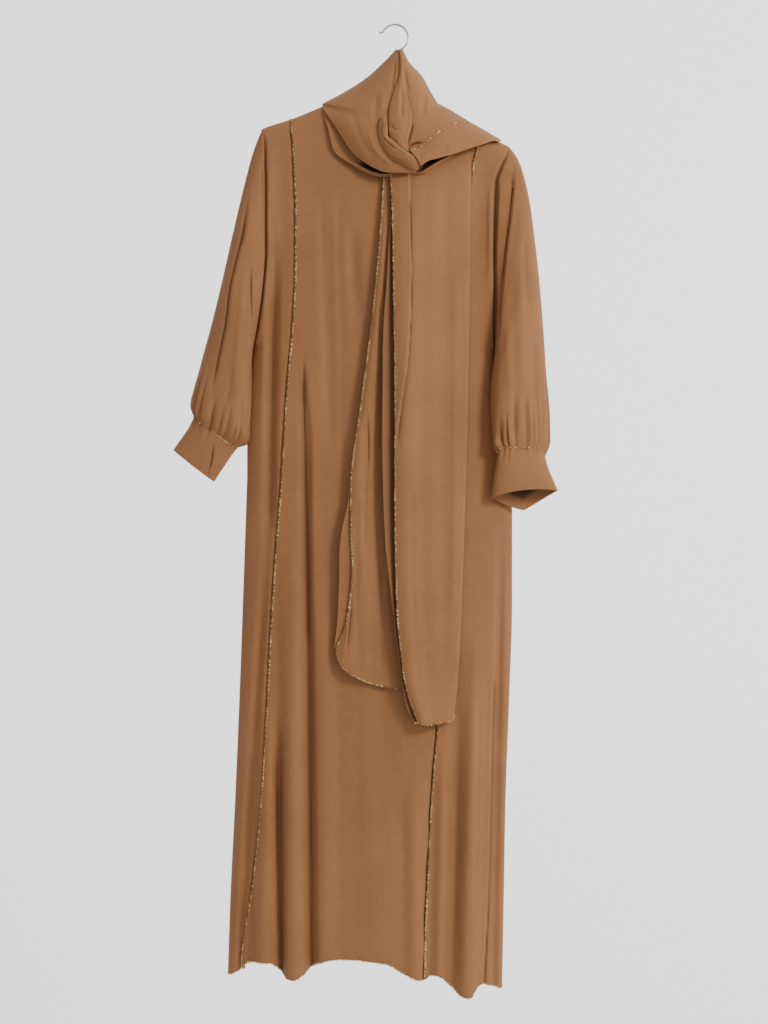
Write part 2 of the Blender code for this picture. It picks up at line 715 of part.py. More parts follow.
def strip_grid(table, columns, corners):
    """Surface of a shawl strip from its table of sections."""
    section = spread(table, corners)
    share = np.linspace(0, 1, columns)[None, :]
    outer, inner = section[:, None, 0:3], section[:, None, 3:6]
    bulge, rounding = section[:, None, 6], section[:, None, 7]
    reach = share * (1 - rounding) + (1 - np.cos(math.pi * share / 2)) * rounding
    dip = share * (1 - rounding) + np.sin(math.pi * share / 2) * rounding
    flat = outer + (inner - outer) * reach[:, :, None]
    depth = outer[:, :, 2] + (inner[:, :, 2] - outer[:, :, 2]) * dip - bulge * np.sin(math.pi * share)
    return np.stack([flat[:, :, 0], depth, -flat[:, :, 1]], axis=2)


def under_grid(columns):
    """Surface of the lower layer, made from the points of the body front and moved out."""
    section = spread(SHAWL_UNDER)
    share = np.linspace(0, 1, columns)[None, :, None]
    flat = section[:, None, 0:3] * (1 - share) + section[:, None, 3:6] * share
    depth = body_depth(flat[:, :, 0], flat[:, :, 1], -1) - flat[:, :, 2]
    return np.stack([flat[:, :, 0], depth, -flat[:, :, 1]], axis=2)


def back_grid(columns):
    """Surface of the shawl behind the hook and neck."""
    section = spread(SHAWL_BACK, (4, 7))
    turn = np.linspace(0, math.pi, columns)[None, :]
    reach = ((1 - np.cos(turn)) / 2)[:, :, None]
    left, right = section[:, None, 0:3], section[:, None, 3:6]
    flat = left + (right - left) * reach
    depth = flat[:, :, 2] + section[:, 6, None] * np.sin(turn) ** 0.8
    below = flat[:, :, 1] - SHOULDER_LINE(flat[:, :, 0])
    clear = body_depth(flat[:, :, 0], flat[:, :, 1], 1) + (CLOTH + 1.4) * eased(0.0, 8.0, below)
    depth = np.where(below > 0, np.maximum(depth, clear), depth)
    return np.stack([flat[:, :, 0], depth, -flat[:, :, 1]], axis=2)


def tail_grid(table, foot, columns):
    """Surface of a hanging tail, lifted off the body front."""
    section = spread(table)
    rows = len(section)
    share = np.linspace(0, 1, columns)[None, :]
    rise = track(foot, 1)(share) * eased(0.55, 1.0, np.linspace(0, 1, rows))[:, None]
    drop = section[:, None, 0] - rise
    across = section[:, None, 1] + (section[:, None, 2] - section[:, None, 1]) * share
    lifts = ((0.0, 3), (0.12, 4), (0.5, 5), (1.0, 6))
    lift = np.array([track([(at, row[column]) for at, column in lifts], 1)(share[0]) for row in section])
    return np.stack([across, body_depth(across, drop, -1) - lift, -drop], axis=2)


def make_shawl(collection):
    """Stretches of the shawl over the hook and neck, then its two tails."""
    strips = (
        ("shawl_left", SHAWL_LEFT, 9, 1, (4,), True),
        ("shawl_right", SHAWL_RIGHT, 9, -1, (4,), True),
        ("shawl_band", SHAWL_BAND, 8, -1, (), False),
        ("shawl_pleat", SHAWL_PLEAT, 7, 1, (), False),
        ("shawl_knot", SHAWL_KNOT, 7, 1, (), False),
    )
    for name, table, columns, flip, corners, seamed in strips:
        grid = strip_grid(table, columns, corners)
        normal = normals_of(grid, False, flip)
        if seamed:
            seam = slice(0, (4 if name == "shawl_left" else 7) * SECTION_STEPS + 1)
            level(normal, seam, 0)
            grid = drawn_in(grid, ("left",))
        wall(name, grid, normal, collection)
    grid = under_grid(5)
    wall("shawl_under", grid, normals_of(grid, False, 1), collection)
    grid = back_grid(11)
    normal = normals_of(grid, False, -1)
    level(normal, slice(0, 4 * SECTION_STEPS + 1), 0)
    level(normal, slice(0, 7 * SECTION_STEPS + 1), -1)
    wall("shawl_back", drawn_in(grid, ("left", "right")), normal, collection)
    for name, table, foot, columns in (
        ("tail_left", LEFT_TAIL, LEFT_TAIL_FOOT, 12),
        ("tail_right", RIGHT_TAIL, RIGHT_TAIL_FOOT, 13),
    ):
        grid = tail_grid(table, foot, columns)
        wall(name, grid, normals_of(grid, False, 1), collection)


def make_hanger(collection):
    """Wire hook with its stem, and the shoulder bar under the cloth."""
    path = [(-24.5, 0.0, -14.0), (-25.0, 0.0, -11.0)]
    for step in range(17):
        angle = math.radians(158 - 14.5 * step)
        path.append((HOOK_RADIUS * math.cos(angle), 0.0, HOOK_RADIUS * (math.sin(angle) - 1) + WIRE_RADIUS))
    path += [(11.2, 0.0, -47.0), (10.2, 0.0, -60.0), (10.0, 0.0, 0.3 - BAR_CROWN_DROP)]
    rod("hanger_hook", path, [WIRE_RADIUS] * len(path), 2, "polished_wire", collection)
    places = np.concatenate([np.linspace(-196, -80, 7), [-30, 10, 50], np.linspace(84, 176, 6)])
    top = SHOULDER_LINE(places) + CLOTH + BAR_EASE
    crown = np.interp(places, (-80, 10, 84), (top[6], BAR_CROWN_DROP, top[10]))
    top = np.where(np.abs(places - 2) < 80, crown, top)
    radii = BAR_RADIUS * (1 - 0.45 * eased(0.75, 1.0, np.abs(places - 10) / 200))
    bar = [(float(x), 0.0, float(-d)) for x, d in zip(places, top + radii)]
    rod("hanger_bar", bar, radii.tolist(), 2, "bar_plastic", collection)


def build():
    """Clear the scene and make every piece."""
    for thing in list(bpy.data.objects):
        bpy.data.objects.remove(thing, do_unlink=True)
    collection = bpy.data.collections.new("abaya_with_shawl_on_hanger")
    bpy.context.scene.collection.children.link(collection)
    loops = make_body(collection)
    make_sleeve("left", LEFT_SLEEVE, LEFT_CUFF, *loops["left"], collection)
    make_sleeve("right", RIGHT_SLEEVE, RIGHT_CUFF, *loops["right"], collection)
    make_shawl(collection)
    make_hanger(collection)


build()
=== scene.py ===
"""Abaya of plain crepe with its matching shawl, hung on a wire hanger.

Tables and sizes are millimetres, and a drop is a distance down from the inside top of the hook.
X runs across the garment, Y from front to back and Z up. Meshes are made in metres.
"""

import logging
import math
from dataclasses import dataclass
from enum import Enum
from typing import Sequence

import bmesh
import bpy
import numpy as np
from mathutils.bvhtree import BVHTree
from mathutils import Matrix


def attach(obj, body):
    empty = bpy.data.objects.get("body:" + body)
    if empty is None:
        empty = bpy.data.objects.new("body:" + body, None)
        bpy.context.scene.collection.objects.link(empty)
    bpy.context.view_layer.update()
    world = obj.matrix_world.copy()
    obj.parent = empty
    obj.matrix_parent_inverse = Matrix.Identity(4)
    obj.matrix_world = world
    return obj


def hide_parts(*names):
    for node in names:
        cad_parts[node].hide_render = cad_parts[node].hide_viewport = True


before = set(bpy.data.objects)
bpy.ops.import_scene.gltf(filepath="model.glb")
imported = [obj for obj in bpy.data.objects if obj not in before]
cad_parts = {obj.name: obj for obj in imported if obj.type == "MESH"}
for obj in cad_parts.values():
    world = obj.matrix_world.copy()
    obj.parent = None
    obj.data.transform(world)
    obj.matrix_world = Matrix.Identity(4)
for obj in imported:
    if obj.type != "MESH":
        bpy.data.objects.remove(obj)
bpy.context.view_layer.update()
LOG = logging.getLogger("abaya")

Table = Sequence[Sequence[float]]
Colour = tuple[float, float, float]

# Where the front is looked at from: distance, place across, drop
VIEW_DISTANCE = 2366.0
VIEW_ACROSS = -18.26
VIEW_DROP = 809.25

# Creases: steps between the points of a path, the drop below which one runs out at the hem, and how
# much painted shade a valley gets with its depth, from which depth on and up to how much
PATH_STEPS = 12
RUNS_OUT = 1520.0
VALLEY_DARK = 0.13
VALLEY_START = 1.0
VALLEY_MOST = 0.36

# Armhole seams: depth and half width of their groove, how dark its painted shade is, half the width
# of that painted dark line, and the drops between which the painted shade sets in
GROOVE = 5.0
GROOVE_HALF = 3.0
GROOVE_DARK = 0.5
GROOVE_DARK_HALF = 2.6
GROOVE_DARK_FROM = (190.0, 260.0)

# Mean distance from one pucker of a seam to the next
PUCKER_PITCH = 24.0

# Body outline: drop, left edge, right edge, front depth, back depth
BODY = (
    (172, -221, 189, 25, 22),
    (201, -216, 189, 26, 23),
    (240, -215, 175, 28, 24),
    (262, -214, 167, 29, 24),
    (300, -214, 165, 30, 24),
    (374, -214, 164, 31, 24),
    (441, -219, 165, 32, 25),
    (507, -229, 165, 33, 25),
    (542, -236, 166, 33, 25),
    (607, -243, 166, 34, 26),
    (625, -244, 167, 34, 26),
    (650, -245, 169, 34, 26),
    (691, -246, 174, 35, 26),
    (740, -246, 184, 35, 27),
    (809, -248, 195, 36, 27),
    (955, -253, 195, 38, 28),
    (1121, -259, 190, 40, 29),
    (1287, -266, 184, 43, 30),
    (1453, -274, 181, 46, 32),
    (1610, -279, 178, 48, 34),
)

# Armhole edge: drop, depth on the left, depth on the right
ARMHOLE = (
    (172, 14, 14),
    (201, 16, 14),
    (240, 18, 16),
    (330, 21, 20),
    (430, 20, 20),
    (470, 18, 18),
    (508, 15, 15),
    (525, 11.5, 12),
    (534, 8, 9),
    (540, 0, 4.5),
    (544, 0, 0),
)

# Shoulder line: place across, drop
SHOULDER = (
    (-221, 172),
    (-208, 167),
    (-173, 156),
    (-121, 135),
    (-75, 114),
    (95, 149),
    (124, 166),
    (150, 182),
    (176, 195),
    (189, 201),
)

# Neckline: place across, front drop, back drop
NECKLINE = (
    (-76, 114, 114),
    (-68, 150, 120),
    (-45, 184, 128),
    (10, 204, 138),
    (62, 190, 147),
    (88, 172, 150),
    (96, 150, 150),
)

# Full-length seams of the front: drop, left seam, right seam
SEAMS = (
    (150, -175, 140),
    (200, -168, 137),
    (240, -166, 129),
    (308, -163, 124),
    (408, -163, 118),
    (507, -168, 110),
    (623, -178, 102),
    (773, -187, 93),
    (889, -196, 86),
    (1022, -204, 78),
    (1163, -211, 70),
    (1287, -219, 60),
    (1387, -229, 55),
    (1470, -241, 51),
    (1540, -252, 49),
    (1610, -254, 48),
)

# Lines that the columns of the front follow: drop, left side, left of centre, centre fold,
# right side fold, right edge fold
FOLD_LINES = (
    (150, -199, -160, -132, 154, 172),
    (330, -199, -150, -124, 130, 148),
    (540, -202, -160, -148, 118, 140),
    (680, -204, -167, -147, 112, 144),
    (780, -206, -172, -147, 108, 170),
    (1000, -214, -186, -144, 104, 172),
    (1110, -225, -196, -143, 102, 170),
    (1300, -237, -192, -141, 97, 166),
    (1500, -258, -187, -137, 92, 161),
    (1610, -267, -185, -135, 91, 160),
)

# Hem: place across, front drop, back drop
HEM = (
    (-279, 1575, 1576),
    (-262, 1568, 1574),
    (-252, 1560, 1568),
    (-245, 1549, 1565),
    (-234, 1545, 1564),
    (-204, 1547, 1564),
    (-191, 1556, 1566),
    (-180, 1569, 1570),
    (-166, 1571, 1572),
    (-149, 1563, 1570),
    (-138, 1554, 1566),
    (-124, 1544, 1563),
    (-100, 1539, 1560),
    (-17, 1545, 1566),
    (13, 1560, 1572),
    (45, 1572, 1572),
    (61, 1565, 1572),
    (75, 1568, 1576),
    (92, 1587, 1586),
    (108, 1600, 1590),
    (122, 1603, 1592),
    (132, 1591, 1592),
    (140, 1583, 1594),
    (161, 1590, 1597),
    (178, 1597, 1598),
)

# Large front folds: top place, foot place, start drop, end drop, half width, height forwards
FRONT_FOLDS = (
    (-199, -208, 330, 860, 16, -9),
    (-208, -262, 800, 1640, 12, -7),
    (-204, -222, 1100, 1640, 22, 9),
    (-196, -184, 1110, 1640, 11, -13),
    (-172, -164, 820, 1700, 26, 11),
    (-151, -134, 520, 1700, 15, -9),
    (-118, -112, 860, 1700, 26, 5),
    (-108, -104, 280, 700, 24, -3),
    (-70, -62, 320, 520, 18, -3),
    (-20, -10, 1150, 1700, 60, 5),
    (30, 34, 1180, 1700, 24, 9),
    (66, 56, 1150, 1700, 14, -3),
    (82, 68, 1120, 1700, 24, 5),
    (103, 90, 1090, 1700, 22, -8),
    (132, 116, 980, 1700, 30, 10),
    (176, 160, 780, 1700, 12, -6),
    (158, 156, 262, 430, 8, 3),
)

# Large back folds, in the same columns
BACK_FOLDS = (
    (-150, -176, 420, 1700, 55, 8),
    (-92, -110, 600, 1700, 50, -10),
    (-30, -48, 360, 1700, 60, 9),
    (34, 22, 620, 1700, 50, -10),
    (96, 90, 420, 1700, 55, 9),
    (140, 140, 760, 1700, 40, -5),
)

# Creases of the front: half width, height, lap, then the path as across and drop by turns
FRONT_CREASES = (
    (5, -1.2, 2.2, -148, 560, -148, 640, -146, 720, -141, 890, -137, 1120, -136, 1350, -134, 1560),
    (4, -1.0, 1.6, -150, 545, -147, 610, -140, 680, -139, 800, -139, 1040),
    (6, -2.2, 0.6, -184, 1140, -185, 1290, -184, 1420, -185, 1580),
    (7, -1.6, 0.0, -122, 280, -114, 480, -108, 640, -104, 720),
    (9, -1.4, 0.0, -92, 260, -90, 420, -86, 640, -84, 760),
    (8, -1.6, 0.0, -70, 330, -69, 480),
    (6, 1.4, 0.0, -101, 280, -98, 470, -94, 620),
    (10, -1.2, 0.0, -176, 900, -172, 1010, -172, 1160),
    (10, 1.6, 0.0, -156, 900, -157, 1010, -158, 1160),
    (14, 1.2, 0.0, -60, 700, -52, 1000, -44, 1420),
    (16, -1.2, 0.0, -34, 560, -24, 900, -12, 1250),
    (14, 1.0, 0.0, 10, 980, 12, 1300, 16, 1560),
    (9, -1.4, 0.0, 96, 250, 92, 420, 86, 620),
    (10, 1.4, 0.0, 72, 300, 66, 520, 60, 800),
    (8, -1.2, 0.0, 50, 420, 46, 700, 36, 1000),
    (2.4, -3.2, -2.4, 164, 1060, 160, 1180, 158, 1275, 153, 1447, 145, 1590),
    (7, 1.2, 0.0, 130, 1000, 126, 1200, 122, 1400),
    (12, -1.4, 0.0, 106, 1230, 100, 1420, 94, 1520, 92, 1600),
    (4, -1.0, 0.0, 138, 1100, 134, 1300, 130, 1500),
    (6, -1.6, 0.0, -204, 420, -208, 650, -212, 900),
    (5, 1.2, 0.0, -194, 300, -196, 500, -198, 760),
    (5, -1.2, 0.0, -196, 330, -199, 500),
    (5, -1.4, 0.0, -222, 1130, -228, 1300, -240, 1540),
)

# Creases of the back, in the same columns, with heights backwards
BACK_CREASES = (
    (9, -2.0, 0.0, -190, 300, -196, 640, -206, 1100, -222, 1590),
    (12, 1.8, 0.0, -128, 340, -138, 760, -150, 1200, -160, 1590),
    (7, -2.2, 0.8, -108, 520, -116, 900, -128, 1300, -134, 1590),
    (9, -1.6, 0.0, -62, 260, -66, 560, -74, 900),
    (12, 2.0, 0.0, -44, 700, -50, 1100, -60, 1590),
    (8, -1.8, -0.6, -4, 420, -8, 800, -16, 1240, -22, 1590),
    (12, 1.6, 0.0, 22, 260, 20, 620, 14, 1000),
    (9, -2.2, 0.6, 58, 340, 54, 780, 46, 1240, 40, 1590),
    (13, 1.8, 0.0, 84, 900, 80, 1250, 74, 1590),
    (8, -1.6, 0.0, 122, 300, 120, 640, 116, 980),
    (9, -1.8, -0.6, 142, 700, 140, 1100, 130, 1590),
)

# Sleeve and cuff sections, each a share of the way down, then across, drop and depth of the outer
# edge, the same of the inner edge, front bulge, back bulge, front sag, back sag, and for a cuff how
# sharply it is creased along both edges
LEFT_SLEEVE = (
    (0.00, -221, 172, 0, -232.5, 540, 0, 20, 20, 0, 0),
    (0.08, -236, 211, 0, -235.5, 553, -2, 25, 20, 0, 0),
    (0.20, -254, 280, 0, -236.5, 576, -6, 30, 21, 0, 0),
    (0.35, -273, 362, 0, -237, 600, -11, 33, 22, 0, 0),
    (0.50, -289, 433, 0, -237.5, 623, -13, 35, 24, 0, 0),
    (0.65, -306, 502, 0, -238.5, 646, -14, 36, 25, 0, 0),
    (0.80, -323, 565, -1, -240, 668, -14, 36, 25, 0, 0),
    (0.90, -333, 606, -2, -242, 684, -13, 34, 24, 0, 2),
    (0.96, -338, 634, -3, -247, 695, -9, 30, 21, 3, 3),
    (1.00, -333, 651, -4, -262, 701, -4, 24, 18, 4, 3),
)
LEFT_CUFF = (
    (0.00, -333, 651, -4, -262, 701, -4, 24, 18, 4, 3, 0.0),
    (0.35, -342, 668, -4, -273, 718, -4, 23, 18, 4, 3, 0.2),
    (1.00, -368, 706, -4, -300, 759, -4, 18, 17, 1, -1, 0.6),
)
RIGHT_SLEEVE = (
    (0.00, 189, 201, 0, 162.5, 544, 0, 20, 20, 0, 0),
    (0.06, 203, 220, -1, 164, 553, -2, 25, 20, 0, 0),
    (0.12, 213, 247, -2, 162, 566, -6, 29, 20, 0, 0),
    (0.25, 224, 298, -4, 158, 592, -13, 33, 22, 0, 0),
    (0.40, 232, 360, -6, 157, 618, -20, 34, 22, 0, 0),
    (0.55, 239, 425, -8, 157, 640, -26, 32, 22, 0, 0),
    (0.70, 245, 500, -10, 158, 661, -32, 30, 22, 0, 0),
    (0.82, 250, 580, -12, 160, 680, -35, 28, 23, -2, 0),
    (0.92, 254, 656, -15, 162, 697, -37, 26, 24, -6, 0),
    (0.97, 254, 696, -18, 164, 706, -38, 23, 21, -9, 0),
    (1.00, 246, 719, -21, 169, 711, -38, 19, 18, -10, 2),
)
RIGHT_CUFF = (
    (0.00, 246, 719, -21, 169, 711, -38, 19, 18, -10, 2, 0.0),
    (0.35, 252, 737, -23, 164, 737, -38, 20, 19, -10, 8, 0.4),
    (1.00, 268, 774, -26, 156, 786, -38, 22, 23, -7, 26, 1.0),
)

# Creases of the sleeves, in the columns of the front creases
LEFT_SLEEVE_CREASES = (
    (3.0, -3.6, 1.8, -244, 308, -251, 354, -260, 394, -270, 441, -277, 499, -289, 560, -301, 618),
    (2.2, -3.0, 1.0, -236, 388, -237, 434, -236, 474, -232, 520),
    (3.4, -2.0, 1.0, -240, 275, -245, 315, -249, 354, -255, 388),
    (7.0, 1.6, 0.0, -246, 394, -251, 457, -257, 540, -267, 617),
    (5.0, -1.8, 0.0, -287, 374, -300, 457, -314, 540),
    (4.0, -1.4, 0.8, -222, 205, -219, 245, -218, 290, -217, 380),
    (1.5, -2.4, 1.8, -296, 688, -299, 705, -303, 728, -313, 752),
    (7.0, -1.8, 0.5, -262, 560, -268, 600, -276, 650),
    (6.0, -1.6, 0.0, -246, 590, -250, 640, -256, 690),
)
RIGHT_SLEEVE_CREASES = (
    (1.6, -4.4, 2.4, 172, 236, 170, 275, 168, 325, 166, 382, 167, 460, 165, 560),
    (1.7, -4.0, 3.0, 197, 222, 195, 268, 190, 320, 184, 364, 179, 412, 174, 460, 168, 540),
    (2.2, -2.6, 1.2, 192, 212, 181, 221, 171, 250),
    (2.4, -1.2, 0.0, 186, 275, 185, 316, 179, 358),
    (9, -2.2, 0.0, 214, 330, 215, 420, 216, 500),
    (10, 1.8, 0.0, 206, 420, 205, 540, 208, 640),
    (6, -2.6, 0.8, 196, 600, 197, 660, 199, 706),
    (6, -2.6, 0.6, 171, 650, 173, 680, 178, 706),
    (9, -1.8, 0.0, 228, 500, 230, 580, 230, 660),
    (8, 1.6, 0.0, 184, 480, 184, 560, 188, 640),
    (6, -1.8, 0.0, 212, 600, 214, 660, 216, 706),
)

# Shawl sections, each the across, drop and depth of the outer edge, the same of the inner edge,
# bulge forwards and how far the outer edge rounds away
SHAWL_LEFT = (
    (1, 40, 3, 9, 40, -5, 0, 1.0),
    (-20, 62, 6, 11, 64, -19, 2, 1.0),
    (-48, 87, 8, 9, 94, -32, 4, 1.0),
    (-80, 108, 8, 4, 125, -41, 5, 1.0),
    (-121, 130, 1, -2, 150, -46, 6, 0.9),
    (-116, 143, -25, -5, 170, -51, 6, 0.2),
    (-96, 173, -36, -5, 188, -54, 7, 0.1),
    (-68, 214, -44, 2, 203, -56, 7, 0.1),
    (-26, 241, -52, 15, 215, -58, 4, 0.1),
    (8, 245, -56, 28, 225, -59, 2, 0.1),
    (35, 244, -57, 42, 232, -59, 1, 0.1),
)
SHAWL_RIGHT = (
    (13, 40, 3, 11, 40, -6, 0, 1.0),
    (25, 62, 6, 9, 64, -19, 0, 1.0),
    (45, 84, 8, 11, 96, -31, 2, 1.0),
    (58, 107, 8, 15, 132, -40, 3, 1.0),
    (71, 129, 8, 16, 166, -47, 4, 1.0),
    (92, 140, 7, 15, 198, -54, 5, 1.0),
    (112, 152, 5, 38, 206, -54, 5, 0.9),
    (134, 166, 4, 80, 194, -49, 4, 0.8),
)
SHAWL_BAND = (
    (176, 192, 2, 173, 194, -9, 0.5, 0.5),
    (163, 184, 3, 163, 192, -24, 2, 0.8),
    (141, 171, 1, 148, 197, -39, 3, 0.8),
    (120, 163, -14, 126, 204, -48, 5, 0.6),
    (101, 164, -31, 106, 211, -54, 6, 0.3),
    (85, 171, -43, 86, 217, -59, 6, 0.2),
    (71, 179, -50, 71, 221, -62, 6, 0.2),
    (58, 189, -56, 58, 224, -65, 5, 0.2),
    (45, 200, -61, 49, 229, -67, 4, 0.1),
    (34, 205, -65, 43, 233, -68, 2, 0.1),
    (25, 208, -67, 39, 225, -69, 1, 0.1),
)
SHAWL_PLEAT = (
    (7, 40, -8, 12, 40, -7, 1, 0.0),
    (9, 58, -21, 14, 58, -20, 1.5, 0.0),
    (8, 82, -33, 15, 82, -32, 2.5, 0.0),
    (-1, 108, -41, 19, 109, -40, 4, 0.0),
    (-8, 132, -47, 24, 132, -46, 5, 0.0),
    (-10, 152, -52, 28, 152, -50, 5, 0.0),
    (-10, 168, -56, 27, 168, -54, 5, 0.0),
    (-9, 180, -58, 24, 182, -57, 4, 0.0),
    (-4, 191, -59, 21, 195, -59, 3, 0.0),
    (6, 203, -60, 23, 207, -61, 2, 0.0),
    (17, 212, -60, 29, 215, -61, 1, 0.0),
)
SHAWL_KNOT = (
    (-22, 151, -54, -16, 149, -54, 0.5, 0.0),
    (-26, 160, -55, -13, 157, -59, 2.5, 0.0),
    (-28, 173, -56, -12, 172, -62, 4, 0.0),
    (-26, 188, -57, -11, 184, -64, 4, 0.0),
    (-19, 204, -59, -3, 191, -66, 5, 0.0),
    (-8, 219, -60, 7, 200, -68, 5, 0.0),
    (4, 227, -61, 16, 207, -70, 5, 0.0),
    (14, 233, -62, 24, 212, -70, 5, 0.0),
    (24, 238, -62, 32, 217, -70, 4, 0.0),
    (33, 240, -62, 39, 222, -68, 2, 0.0),
    (39, 239, -61, 42, 230, -64, 0, 0.0),
)

# Lower layer of the shawl: across, drop and lift off the body of the outer edge, then of the inner,
# and the height of the lip beside the outer edge
SHAWL_UNDER = (
    (-120, 143, 5, -103, 135, 4, 0),
    (-110, 177, 6, -91, 165, 4, 0),
    (-104, 202, 7, -80, 182, 5, 0),
    (-96, 215, 7, -70, 197, 6, 0),
    (-75, 229, 8, -55, 212, 8, 1),
    (-53, 243, 8, -38, 220, 5, 7),
    (-32, 251, 6, -23, 222, 3, 11),
    (-15, 252, 6, -8, 222, 3, 11),
    (5, 249, 7, 7, 222, 3, 8),
    (27, 249, 9, 23, 222, 4, 8),
    (43, 248, 14, 37, 225, 6, 10),
    (55, 242, 16, 46, 220, 6, 10),
    (75, 229, 15, 65, 210, 6, 8),
    (90, 221, 12, 81, 203, 7, 4),
    (108, 209, 8, 98, 192, 7, 0),
)

# Creases of the shawl's stretches, in the columns of the front creases
TWIST_CREASES = (
    (1.5, -3.2, 0.0, -23, 182, -15, 191, -6, 200, 2, 207),
    (3.0, 1.6, 0.0, -19, 199, -10, 211, 3, 219, 17, 226),
    (1.3, -2.6, 0.0, -19, 158, -22, 168, -22, 178, -18, 183),
    (1.2, 1.4, 0.0, -14, 157, -15, 168, -16, 178),
    (1.6, 1.2, 0.0, -8, 191, 3, 201, 13, 209, 25, 217),
)
PLEAT_CREASES = (
    (4.2, -2.4, 0.0, 10, 104, 12, 120, 11, 138, 11, 155),
    (2.6, 1.2, 0.0, 14, 92, 18, 108, 22, 124, 24, 140, 25, 154, 24, 170, 20, 180, 19, 192, 18, 203),
    (3.0, -1.6, 0.0, -8, 162, -3, 172, 5, 174, 15, 172),
)
RIGHT_DRAPE_CREASES = (
    (1.6, -3.4, 0.0, 30, 162, 28, 171, 25, 181, 22, 191, 21, 198),
    (1.9, -6.0, 0.0, 19, 202, 24, 201, 30, 198, 37, 196, 46, 195),
    (5.0, -2.2, 0.0, 49, 112, 48, 132, 46, 152),
    (3.5, 1.4, 0.0, 57, 112, 55, 132, 53, 149),
    (3.0, -1.6, 0.0, 16, 69, 19, 92, 23, 112),
)
LEFT_DRAPE_CREASES = (
    (2.0, -1.4, 0.6, 1, 62, -2, 90, -8, 128, -12, 146),
    (5.0, -2.0, 0.0, -31, 112, -32, 135, -33, 159),
    (6.0, 1.6, 0.0, -18, 105, -20, 125, -22, 145),
    (2.4, -1.8, 0.0, 0, 56, -3, 85, -6, 112),
    (4.0, 1.4, 0.0, -45, 175, -32, 208, -5, 233),
    (6.0, -1.2, 0.0, -71, 145, -55, 192, -32, 225),
)
BAND_CREASES = (
    (5.0, -1.4, 0.0, 37, 220, 50, 210, 70, 196),
    (4.0, -1.0, 0.0, 43, 226, 65, 213, 91, 203),
    (3.0, 1.0, 0.0, 40, 211, 55, 201, 75, 187),
    (7.0, 1.2, 0.0, 85, 207, 111, 192, 144, 182),
)

# Back of the shawl: left edge across, drop and depth, the same of the right edge, depth behind
SHAWL_BACK = (
    (1, 40, 3, 13, 40, 3, 7),
    (-20, 62, 6, 25, 62, 6, 13),
    (-48, 87, 8, 45, 84, 8, 19),
    (-80, 108, 8, 58, 107, 8, 23),
    (-121, 130, 1, 71, 129, 8, 27),
    (-121, 143, 19, 92, 140, 7, 24),
    (-118, 162, 27, 112, 152, 5, 18),
    (-110, 184, 29, 134, 166, 4, 12),
    (-94, 210, 30, 150, 190, 26, 6),
    (-66, 240, 31, 124, 228, 31, 4),
    (-30, 266, 32, 76, 264, 32, 3),
)

# Tails of the shawl: drop, left edge, right edge, then lift off the body at the left edge, the
# left ridge, the middle and the right edge
LEFT_TAIL = (
    (222, -12, 30, 2.1, 2.1, 2.1, 2.1),
    (251, -17, 30, 5, 5, 3, 2.6),
    (330, -22, 28, 10, 12, 4, 3),
    (457, -33, 24, 13, 16, 5, 3),
    (557, -45, 22, 14, 17, 6, 3),
    (640, -56, 22, 15, 18, 7, 3),
    (773, -72, 22, 16, 19, 8, 3),
    (834, -72, 24, 17, 19, 8, 3),
    (889, -69, 26, 18, 19, 8, 3),
    (944, -72, 28, 18, 19, 8, 3),
    (984, -78, 30, 17, 19, 8, 3),
    (1012, -87, 31, 16, 19, 8, 3),
    (1034, -98, 33, 15, 19, 8, 3),
    (1064, -102, 35, 14, 18, 8, 3),
    (1110, -104, 40, 13, 17, 8, 3),
)
RIGHT_TAIL = (
    (200, 4, 124, 7, 9, 4.5, 2.1),
    (251, -7, 126, 10, 12, 8, 3),
    (330, -4, 126, 17, 20, 12, 6),
    (457, -2, 124, 22, 25, 14, 8),
    (623, 0, 121, 25, 28, 15, 8),
    (789, 0, 116, 26, 28, 16, 8),
    (955, 3, 110, 26, 28, 16, 8),
    (1072, 14, 104, 24, 26, 16, 8),
    (1158, 38, 96, 19, 22, 14, 7),
)

# Strips turned under beside the left edges of the tails: drop, width
LEFT_TAIL_TURN = (
    (222, 1), (760, 1), (800, 6), (834, 14), (889, 22), (944, 20), (984, 16), (1012, 10), (1034, 2),
    (1110, 1),
)
RIGHT_TAIL_TURN = (
    (200, 2), (330, 4), (383, 8), (441, 12), (496, 17), (560, 20), (690, 21), (850, 17), (985, 6),
    (1038, 3.5), (1090, 6), (1126, 9), (1158, 1.5),
)

# Feet of the tails: share across, rise above the last row
LEFT_TAIL_FOOT = (
    (0.0, 82), (0.03, 70), (0.075, 56), (0.16, 43), (0.27, 33), (0.47, 21), (0.745, 12), (1.0, 7),
)
RIGHT_TAIL_FOOT = ((0.0, 7), (0.3, 4), (0.7, 6), (0.93, 8), (1.0, 16))

